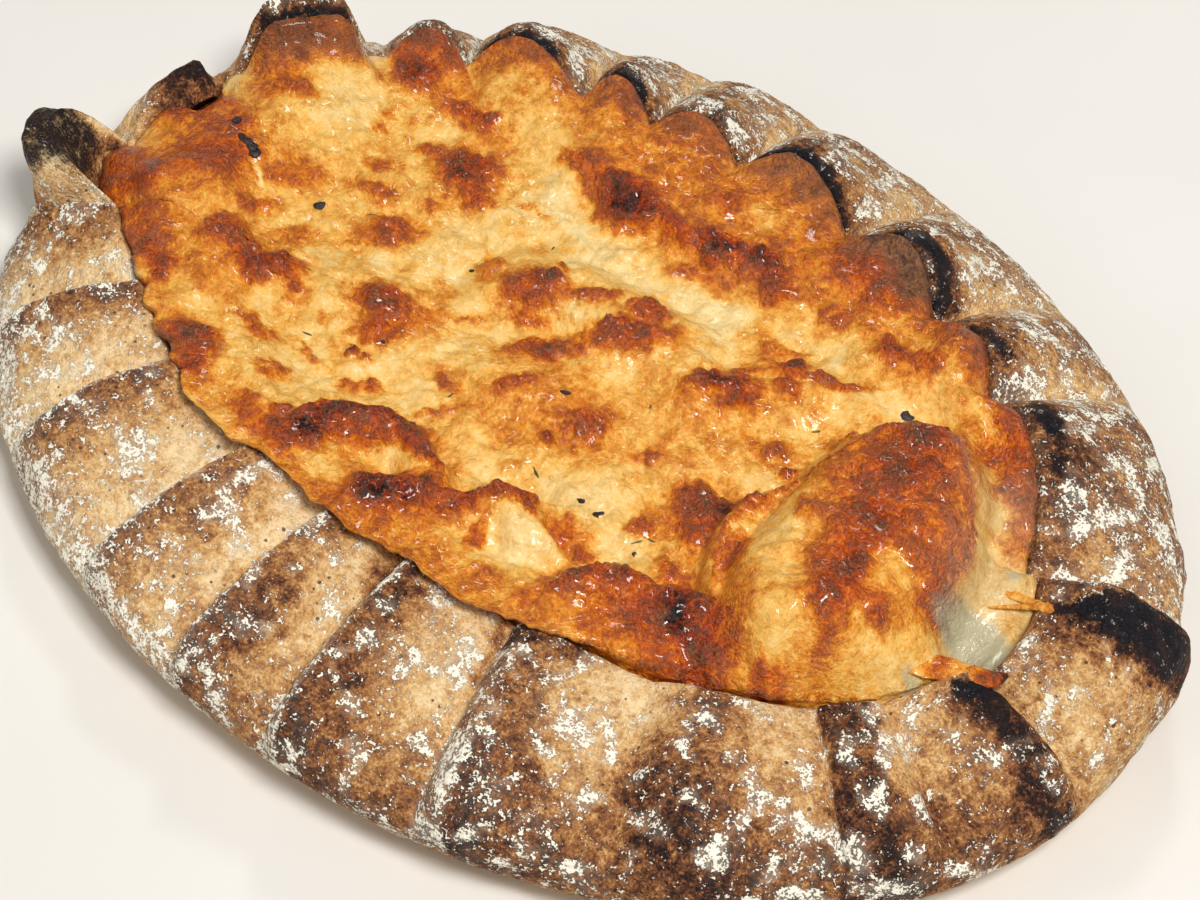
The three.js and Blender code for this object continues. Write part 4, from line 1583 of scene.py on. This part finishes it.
@dataclass
class Filling:
    """The baked potato filling, which fills the crust and spills over its front rim.

    The lip stops are the places of its edge, inside the rim line, that give it a whole lip over the
    rim, half a lip, the dough's corner and the dough's inside. The way out leaves the dough's edge at
    its inner share and turns over it at its corner share. Warp and fray pull the borders of the
    browned patches about, along the oval and across it.
    """

    crust: Crust
    gap: float = 0.35
    lip: float = 1.9
    lip_stops: tuple[float, float, float, float] = (-2.4, -0.95, 0.4, 1.3)
    inner_share: float = 0.6
    corner_share: float = 0.1
    bridge: float = 0.75
    shoulder_in: float = 0.5
    shoulder_out: float = 0.7
    shoulder_up: float = 1.2
    shoulder_least: float = 0.35
    level: float = 14.4
    edge_round: float = 0.82
    sink: float = 0.3
    brim: float = 6.0
    end_brim: float = 3.2
    brim_from: float = 0.8
    brim_stray: Unevenness = Unevenness(2.5, 3, 12.0, 1.5)
    wet_brim: Stretch = Stretch(1.5, 6.0)
    wet_most: float = 0.85
    rim_half: Span = (50.0, 35.0)
    ragged: Unevenness = Unevenness(2.4, 3, 19.0, 0.5)
    ground_tone: float = 0.2
    broad_tone: Unevenness = Unevenness(5.0, 3, 7.0, 0.2)
    fine_tone: Unevenness = Unevenness(1.8, 3, 8.0, 0.12)
    burn_tone: float = 0.95
    burn_stray: Unevenness = Unevenness(1.5, 3, 4.0, 0.6)
    wet_stray: Unevenness = Unevenness(2.2, 3, 17.0, 1.2)
    warp: tuple[Unevenness, Unevenness] = (Unevenness(3.2, 4, 3.0, 1.1), Unevenness(3.2, 4, 5.0, 1.1))
    fray: tuple[Unevenness, Unevenness] = (Unevenness(1.1, 3, 13.0, 0.5), Unevenness(1.1, 3, 15.0, 0.5))
    crisp: float = 1.9
    soft: float = 1.5
    soft_from: float = 5.5
    halo: float = 0.42
    halo_fade: float = 0.14
    halo_reach: float = 1.7
    blister: float = 0.9
    lumps: Unevenness = Unevenness(4.0, 5, 9.0, 0.6)
    curd_size: float = 2.0
    curd_stray: Unevenness = Unevenness(1.4, 2, 21.0, 0.5)
    curd: float = 0.45
    relief: Relief = Relief("filling_relief", lump=1.1, depth=0.2)
    floor_rows: int = 3
    side_rows: int = 4
    lip_rows: int = 12
    top_rows: int = 112

    def reach(self, columns: Columns) -> np.ndarray:
        """Finds how far out the edge comes.

        Args:
            columns: The columns.

        Returns:
            0 inside the dough to 3 over the rim by a whole lip, at each column.
        """
        angle = columns.angle
        known, inward = zip(*((place.angle, place.inward) for place in EDGE_PLACES))
        offsets = np.interp(np.degrees(angle), known, inward, period=360.0)
        x, y = np.cos(angle) * self.rim_half[0], np.sin(angle) * self.rim_half[1]
        stray = self.ragged.at(in_plan(x, y))
        offsets = offsets + stray * smoothstep(-np.sin(angle), 0.1, 0.4)
        return np.interp(offsets, self.lip_stops, (3.0, 2.0, 1.0, 0.0))

    def bridged(self, columns: Columns) -> Columns:
        """The columns as the filling's front edge lies on them, from ridge to ridge."""
        front = smoothstep(-np.sin(columns.angle), 0.15, 0.45)
        return replace(columns, ridge=lerp(columns.ridge, 1.0, self.bridge * front))

    def spill(self, columns: Columns, share: np.ndarray) -> Profile:
        """The filling's way out of the crust: up past the dough's edge, then over the rim.

        Args:
            columns: The columns.
            share: Shares of the way out, in a column of rows.

        Returns:
            The points.
        """
        along = share * self.reach(columns)
        columns = self.bridged(columns)
        corner = self.crust.edge(columns, self.corner_share, self.gap, False)
        corner.height = corner.height + self.gap
        stops = [self.crust.edge(columns, self.inner_share, self.gap, False), corner]
        for lip in (self.lip / 2, self.lip):
            up = np.arccos(lip / self.crust.rim(columns))[None] / QUARTER
            stops.append(self.crust.skin(columns, up, self.gap, False))
        made = stops[0]
        for index, stop in enumerate(stops[1:]):
            made = made.mixed(stop, np.clip(along - index, 0.0, 1.0))
        return made

    def shoulder(self, columns: Columns) -> Profile:
        """The rounded edge of the filling, just above where it leaves the crust.

        Args:
            columns: The columns.

        Returns:
            One row of points.
        """
        made = self.spill(columns, np.ones((1, 1)))
        spilt = smoothstep(self.reach(columns), 0.9, 2.4)
        made.inset = made.inset + lerp(self.shoulder_in, -self.shoulder_out, spilt)
        made.height = made.height + self.shoulder_up * lerp(self.shoulder_least, 1.0, spilt)
        for stretch in SUNKEN:
            made.inset = made.inset + stretch.inward * stretch.weight(columns.angle)
            made.height = made.height - stretch.depth * stretch.weight(columns.angle)
        return made

    def top(self, x: np.ndarray, y: np.ndarray) -> np.ndarray:
        """Height of the top, without blisters and lumps.

        Args:
            x: Places along the oval.
            y: Places across it.

        Returns:
            The height at each place.
        """
        height = self.level + sum(swell.rise(x, y) for swell in SWELLS)
        for crest in CRESTS:
            height = np.maximum(height, self.level + crest.rise(x, y))
        return height

    def curds(self, plan: np.ndarray) -> np.ndarray:
        """Rounded grains of the mash.

        Args:
            plan: Places in plan, as points.

        Returns:
            0 between the grains to 1 on them.
        """
        stray = self.curd_stray.at(plan)[..., None]
        flat = ((plan + stray) / self.curd_size).reshape(-1, 3)
        gaps = [noise.voronoi(p)[0] for p in flat.tolist()]
        return smoothstep(np.array([gap[1] - gap[0] for gap in gaps]), 0.0, 0.55).reshape(plan.shape[:-1])

    def crag(self, x: np.ndarray, y: np.ndarray, tone: np.ndarray) -> np.ndarray:
        """What blisters, lumps and grains add to the top.

        Args:
            x: Places along the oval.
            y: Places across it.
            tone: How far each place is baked.

        Returns:
            The added height.
        """
        plan = in_plan(x, y)
        toasted = smoothstep(tone, 0.38, 0.78)
        curds = self.curd * self.curds(plan) * (0.35 + 0.65 * toasted)
        return self.blister * toasted + self.lumps.at(plan) + curds

    def tone(self, x: np.ndarray, y: np.ndarray) -> np.ndarray:
        """How far the top is baked.

        Args:
            x: Places along the oval.
            y: Places across it.

        Returns:
            0 pale to 1 black, at each place.
        """
        plan = in_plan(x, y)
        warp_x, warp_y = (warp.at(plan) + fray.at(plan) for warp, fray in zip(self.warp, self.fray))
        tone = self.ground_tone + self.broad_tone.at(plan) + self.fine_tone.at(plan)
        for patch in PATCHES:
            turn = math.radians(patch.turn)
            off_x, off_y = x + warp_x - patch.x, y + warp_y - patch.y
            along = (off_x * math.cos(turn) + off_y * math.sin(turn)) / patch.long
            across = (off_y * math.cos(turn) - off_x * math.sin(turn)) / patch.wide
            away = along**2 + across**2
            halo = np.maximum(0.0, patch.tone - self.halo_fade - tone)
            tone = tone + halo * self.halo * np.exp(-away / self.halo_reach**2)
            power = self.soft if patch.long > self.soft_from else self.crisp
            tone = lerp(tone, patch.tone, np.exp(-(away**power)))
        for line in EDGES:
            tone = np.maximum(tone, line.rise(x + warp_x * 0.3, y + warp_y * 0.3))
        return tone

    def surface(self, x: np.ndarray, y: np.ndarray) -> np.ndarray:
        """Height of the finished top at places in plan, away from its edge."""
        return self.top(x, y) + self.crag(x, y, self.tone(x, y))

    def wet(self, surface: np.ndarray, share: np.ndarray, columns: Columns) -> np.ndarray:
        """Where the top is damp and grey: in the pit, at the brim beside it and on the skin round it.

        Args:
            surface: The top's points.
            share: Each row's share of the way out from the middle.
            columns: The columns.

        Returns:
            0 to 1 at each point.
        """
        x, y = surface[..., 0], surface[..., 1]
        stray = self.wet_stray.at(surface)
        at_brim = smoothstep(share, 0.86, 0.93) * self.wet_brim.weight(columns.angle)
        pit = np.max([at_brim, *(damp.weight(x, y, stray) for damp in PIT)], axis=0)
        wet = smoothstep(pit, 0.15, 0.85) * self.wet_most
        return np.max([wet, *(damp.weight(x, y, stray) for damp in DAMP_SKIN)], axis=0)

    def make(self, material: bpy.types.Material) -> bpy.types.Object:
        """The filling as a dressed piece."""
        return self.relief.apply(self.build().make(), "filling_body", material)

    def build(self) -> RingMesh:
        """Makes the filling's rings and the marks of its finish.

        Returns:
            The filling's mesh, not yet made.
        """
        crust = self.crust
        columns = crust.columns()
        depth = crust.dough + self.gap
        sunk = np.max([stretch.weight(columns.angle) for stretch in SUNKEN], axis=0)
        floor = np.linspace(0.0, 1.0, self.floor_rows)[:, None]
        sides = np.linspace(0.0, 1.0, self.side_rows + 1)[1:, None] * (1.0 - self.sink * sunk)
        way = np.linspace(0.0, 1.0, self.lip_rows)[:, None]
        shoulder = crust.place(columns, self.shoulder(columns))
        side = crust.place(columns, crust.wall(columns, sides, depth))
        lip = crust.place(columns, self.spill(columns, way))
        lip = lerp(lip, lerp(side[-1:], shoulder, way[..., None]), sunk[:, None])
        bottom = crust.place(columns, crust.foot(columns, floor, depth))
        share = np.linspace(1.0, 0.0, self.top_rows + 2)[1:-1, None]
        x, y = shoulder[..., 0] * share, shoulder[..., 1] * share
        inward = (1.0 - share) * np.hypot(shoulder[..., 0], shoulder[..., 1])
        inward = inward + self.brim_stray.at(in_plan(x, y))
        reach = lerp(self.brim, self.end_brim, smoothstep(np.cos(columns.angle), 0.4, 0.75))
        brim = (1.0 - smoothstep(inward, self.brim_from, reach)) * columns.ridge**0.5
        tone = lerp(self.tone(x, y), columns.inner, brim * smoothstep(columns.inner, 0.0, 0.4))
        rounding = np.maximum(0.0, (share - self.edge_round) / (1.0 - self.edge_round))
        crag = self.crag(x, y, tone) * (1.0 - 0.7 * rounding)
        height = lerp(shoulder[..., 2], self.top(x, y), np.sqrt(1.0 - rounding**2)) + crag
        surface = np.stack([x, y, height], -1)
        stray = self.burn_stray.at(surface)
        for stroke in BURNS:
            tone = np.maximum(tone, self.burn_tone * stroke.burn * stroke.weight(surface, stray))
        rings = np.concatenate([bottom, side, lip, shoulder, surface])
        tops = {Mark.TONE: tone, Mark.WET: self.wet(surface, share, columns), Mark.DRY: brim * columns.dry}
        below = len(rings) - self.top_rows
        marks = {mark: np.pad(value, ((below, 0), (0, 0)), "edge") for mark, value in tops.items()}
        marks[Mark.SKIN] = np.ones(rings.shape[:2])
        middle = float(self.top(np.zeros(1), np.zeros(1))[0])
        return RingMesh("filling_form", rings, (0.0, 0.0, depth), (0.0, 0.0, middle), marks)


# Small pieces


def joined(parts: Sequence[bpy.types.Object], material: bpy.types.Material) -> bpy.types.Object:
    """Makes several objects one dressed piece.

    Args:
        parts: The objects.
        material: The piece's material.

    Returns:
        The piece, named as the first of them.
    """
    with bpy.context.temp_override(active_object=parts[0], selected_editable_objects=list(parts)):
        bpy.ops.object.join()
    parts[0].data.materials.append(material)
    return parts[0]


@dataclass(frozen=True)
class Strand:
    """A pulled thread of dough.

    Each section is its middle, half-width, half-height and burn.
    """

    sections: tuple[tuple[float, float, float, float, float, float], ...]
    around: int = 14
    finer: int = 8
    wobble: Unevenness = Unevenness(1.4, 2, 31.0, 0.12)
    tone: float = 0.36
    tone_stray: Unevenness = Unevenness(1.2, 3, 33.0)

    def make(self, name: str) -> bpy.types.Object:
        """Makes the strand's mesh.

        Args:
            name: Its name.

        Returns:
            The linked object, not yet dressed.
        """
        known = np.arange(len(self.sections))
        wanted = np.linspace(0, len(self.sections) - 1, self.finer * (len(self.sections) - 1) + 1)
        x, y, z, wide, tall, burn = (np.interp(wanted, known, column) for column in zip(*self.sections))
        middle = np.stack([x, y, z], -1)
        ahead = np.gradient(middle, axis=0)
        ahead /= np.linalg.norm(ahead, axis=1, keepdims=True)
        side = np.cross((0.0, 0.0, 1.0), ahead)
        side /= np.linalg.norm(side, axis=1, keepdims=True)
        above = np.cross(ahead, side)
        turn = np.linspace(0.0, ROUND, self.around, endpoint=False)
        across = (np.cos(turn)[None, :, None] * side[:, None]) * wide[:, None, None]
        up = (np.sin(turn)[None, :, None] * above[:, None]) * tall[:, None, None]
        rings = middle[:, None] + across + up
        lumps = self.wobble.at(rings)[..., None]
        rings = rings + lumps * (above + side)[:, None]
        stray = self.tone_stray.at(rings)
        marks = {Mark.TONE: self.tone + stray * 0.1 + burn[:, None] * (0.5 + stray * 0.3)}
        return RingMesh(name, rings, tuple(rings[0].mean(0)), tuple(rings[-1].mean(0)), marks).make()


THREAD = Strand(
    (
        (55.2, 7.4, 16.3, 0.3, 0.2, 0.6),
        (53.8, 7.0, 16.5, 0.7, 0.35, 0.3),
        (52.2, 6.4, 16.5, 0.7, 0.36, 0.0),
        (50.5, 6.5, 15.7, 0.42, 0.3, 0.0),
        (48.4, 6.5, 15, 0.6, 0.24, 0.0),
        (45.4, 6.9, 14.3, 0.12, 0.1, 0.0),
    )
)
BRANCH = Strand(
    (
        (51.6, 6.2, 16.2, 0.4, 0.28, 0.0),
        (49.7, 5.5, 15.3, 0.28, 0.22, 0.0),
        (46.6, 4.1, 13.9, 0.1, 0.1, 0.0),
    )
)
FOLD = Strand(
    (
        (45.0, -7.6, 15.9, 0.5, 0.2, 0.0),
        (47.0, -5.8, 15.6, 1.3, 0.35, 0.1),
        (48.2, -5.0, 15.5, 1.4, 0.4, 0.5),
        (49.6, -4.4, 15.5, 1.3, 0.35, 0.0),
        (51.4, -4.0, 15.7, 1.4, 0.35, 0.15),
        (52.8, -2.6, 15.3, 1.0, 0.35, 0.7),
        (53.4, -1.2, 14.6, 0.3, 0.3, 1.0),
    )
)
STRANDS = {"dough_thread": (THREAD, BRANCH), "dough_fold": (FOLD,)}


@dataclass(frozen=True)
class Flake:
    """A loose bit on the filling, in plan: its middle, half-sizes and turn."""

    x: float
    y: float
    long: float
    wide: float
    turn: float = 0.0


BURNT_FLAKES = (
    Flake(-44.4, 1.5, 1.1, 0.42, -12), Flake(-43.6, 1.3, 1.1, 0.5, -12), Flake(-42.9, 1.1, 0.9, 0.6, -12),
    Flake(-46.7, 2.8, 0.5, 0.4, 30), Flake(-34.0, 0.9, 0.55, 0.5), Flake(0.7, -2.1, 0.55, 0.3, 20),
    Flake(9.9, -10.8, 0.45, 0.25, 10), Flake(12.2, -11.0, 0.55, 0.42, 40), Flake(17.8, -12.2, 0.3, 0.25),
    Flake(27.6, 17.2, 0.8, 0.6, 15), Flake(-16.8, 4.3, 0.25, 0.2), Flake(-17.2, -8.5, 0.25, 0.2),
)
GREEN_SLIVERS = (
    Flake(4.5, -10.9, 1.0, 0.14, -30), Flake(18.3, -9.7, 0.9, 0.13, 10),
    Flake(17.0, -11.0, 0.6, 0.12, 60), Flake(-29.0, 3.5, 0.6, 0.12, 30),
    Flake(-12.5, 11.5, 0.7, 0.13, 100), Flake(8.0, 2.0, 0.6, 0.12, -60),
    Flake(-24.0, -12.0, 0.6, 0.12, 15), Flake(22.0, 10.5, 0.7, 0.12, 45),
    Flake(-8.0, -9.0, 0.5, 0.12, 80), Flake(-36.0, -8.0, 0.6, 0.12, -45),
)


@dataclass
class Flakes:
    """Loose bits of one kind, laid on the filling."""

    name: str
    flakes: tuple[Flake, ...]
    thickness: float
    finish: PowderFinish
    around: int = 14
    rows: int = 7
    crumb: Unevenness = Unevenness(0.6, 3, 41.0)
    crumb_depth: float = 0.6
    crumb_most: float = 0.45

    def make(self, filling: Filling) -> bpy.types.Object:
        """The bits on a filling, as one dressed piece."""
        return joined([self._bit(flake, filling) for flake in self.flakes], self.finish.make())

    def _bit(self, flake: Flake, filling: Filling) -> bpy.types.Object:
        """One rounded, uneven bit.

        Args:
            flake: Where it lies and its sizes.
            filling: What it lies on.

        Returns:
            The linked object, not yet dressed.
        """
        lean = np.linspace(-QUARTER, QUARTER, self.rows + 2)[1:-1, None]
        turn = np.linspace(0.0, ROUND, self.around, endpoint=False)[None]
        along, across = np.cos(lean) * np.cos(turn) * flake.long, np.cos(lean) * np.sin(turn) * flake.wide
        heading = math.radians(flake.turn)
        x = flake.x + along * math.cos(heading) - across * math.sin(heading)
        y = flake.y + along * math.sin(heading) + across * math.cos(heading)
        rings = np.stack([x, y, np.sin(lean) * self.thickness + x * 0.0], -1)
        depth = self.crumb_depth * min(flake.wide, self.crumb_most)
        rings += self.crumb.at(rings + flake.x)[..., None] * depth
        rings[..., 2] += filling.surface(np.array([flake.x]), np.array([flake.y]))[0]
        return RingMesh(self.name, rings, tuple(rings[0].mean(0)), tuple(rings[-1].mean(0))).make()


LOOSE_BITS = (
    Flakes(
        "burnt_flakes",
        BURNT_FLAKES,
        0.22,
        PowderFinish("burnt_flakes_finish", linear(18, 14, 16), linear(58, 40, 40), 0.55),
    ),
    Flakes(
        "green_slivers",
        GREEN_SLIVERS,
        0.1,
        PowderFinish("green_slivers_finish", linear(62, 56, 30), linear(104, 92, 50), 0.55),
    ),
)
FLOUR = Scatter(
    "flour_clumps",
    per_square_metre=900000.0,
    small=0.04,
    large=0.24,
    flatness=0.6,
    seed=11,
    mark=Mark.FLOUR,
    threshold=0.5,
)


# The studio


@dataclass(frozen=True)
class Lamp:
    """A square soft light: its turn from the camera, elevation, side and watts."""

    name: str
    turn: float
    elevation: float
    side: float
    watts: float


LAMPS = (
    Lamp("key", 25.0, 62.0, 240.0, 8.7),
    Lamp("fill", -60.0, 55.0, 900.0, 1.9),
    Lamp("back", 170.0, 50.0, 140.0, 1.3),
)


@dataclass(frozen=True)
class Studio:
    """A pale floor, soft light, and the camera where the photograph was taken from."""

    azimuth: float = 39.85
    elevation: float = 52.0
    distance: float = 470.0
    target: Place = (1.908, 0.332, 6.0)
    lens: float = 143.33
    sensor: float = 36.0
    clip_start: float = 10.0
    lamp_distance: float = 1000.0
    floor_side: float = 3000.0
    floor_blotch: float = 60.0
    floor_colours: tuple[Rgba, Rgba] = (linear(226, 222, 214), linear(232, 228, 221))
    floor_roughness: float = 0.8
    world: float = 0.19
    world_colour: Rgba = (1.0, 0.98, 0.95, 1.0)

    def place(
        self, name: str, data: bpy.types.ID, azimuth: float, elevation: float, distance: float
    ) -> bpy.types.Object:
        """Puts a camera or light round the target, facing it.

        Args:
            name: The object's name.
            data: The camera or light.
            azimuth: Degrees from the front.
            elevation: Degrees above the floor.
            distance: How far off, in millimetres.

        Returns:
            The linked object.
        """
        made = bpy.data.objects.new(name, data)
        bpy.context.scene.collection.objects.link(made)
        a, e = math.radians(azimuth), math.radians(elevation)
        away = Vector((math.sin(a) * math.cos(e), -math.cos(a) * math.cos(e), math.sin(e)))
        made.location = (Vector(self.target) + away * distance) * MM
        made.rotation_euler = away.to_track_quat("Z", "Y").to_euler()
        return made

    def light(self, lamp: Lamp) -> None:
        """Adds a light.

        Args:
            lamp: Its place and strength.
        """
        data = bpy.data.lights.new(lamp.name, "AREA")
        data.shape = "SQUARE"
        data.size = lamp.side * MM
        data.energy = lamp.watts
        self.place(lamp.name, data, self.azimuth + lamp.turn, lamp.elevation, self.lamp_distance)

    def floor(self) -> bpy.types.Object:
        """Lays the floor.

        Returns:
            The dressed floor.
        """
        half = self.floor_side / 2 * MM
        mesh = bpy.data.meshes.new("floor")
        corners = [(-half, -half, 0.0), (half, -half, 0.0), (half, half, 0.0), (-half, half, 0.0)]
        mesh.from_pydata(corners, [], [(0, 1, 2, 3)])
        g = ShaderGraph("floor_finish")
        shade = g.mix(g.noise(self.floor_blotch).step(-1.0, 1.0), *self.floor_colours)
        mesh.materials.append(g.finish({"Base Color": shade, "Roughness": self.floor_roughness}))
        return link(mesh)

    def build(self) -> None:
        """Sets the stage, the lights and the camera."""
        self.floor()
        for lamp in LAMPS:
            self.light(lamp)
        scene = bpy.context.scene
        scene.world = bpy.data.worlds.new("studio")
        scene.world.use_nodes = True
        background = scene.world.node_tree.nodes["Background"]
        background.inputs["Color"].default_value = self.world_colour
        background.inputs["Strength"].default_value = self.world
        scene.view_settings.view_transform = "Standard"
        data = bpy.data.cameras.new("camera")
        data.lens = self.lens
        data.sensor_width = self.sensor
        data.clip_start = self.clip_start * MM
        scene.camera = self.place("camera", data, self.azimuth, self.elevation, self.distance)


def settle(piece: bpy.types.Object, slot: Slot, *nodes: str) -> None:
    """Puts a finished piece on the body, for the nodes that it replaces.

    Args:
        piece: The piece.
        slot: Not used.
        nodes: The solids that it stands for, if any.
    """
    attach(piece, BODY)
    if nodes:
        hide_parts(*nodes)
    LOG.info("%s: %d triangles", piece.name, triangles(piece))


def main() -> None:
    """Builds the pasty and its studio."""
    logging.basicConfig(level=logging.INFO, format="%(name)s: %(message)s")
    Studio().build()
    crust = Crust()
    shell = crust.make()
    settle(shell, Slot.CRUST, "crust")
    filling = Filling(crust)
    baked = BakedFillingFinish().make()
    settle(filling.make(baked), Slot.FILLING, "filling")
    for name, strands in STRANDS.items():
        settle(joined([strand.make(name) for strand in strands], baked), Slot.FILLING)
    for bits in LOOSE_BITS:
        settle(bits.make(filling), Slot.FILLING)
    flour = PowderFinish("flour_finish", linear(242, 230, 204), linear(255, 248, 232)).make()
    settle(FLOUR.make(shell, flour), Slot.CRUST)


if __name__ == "__main__":
    main()
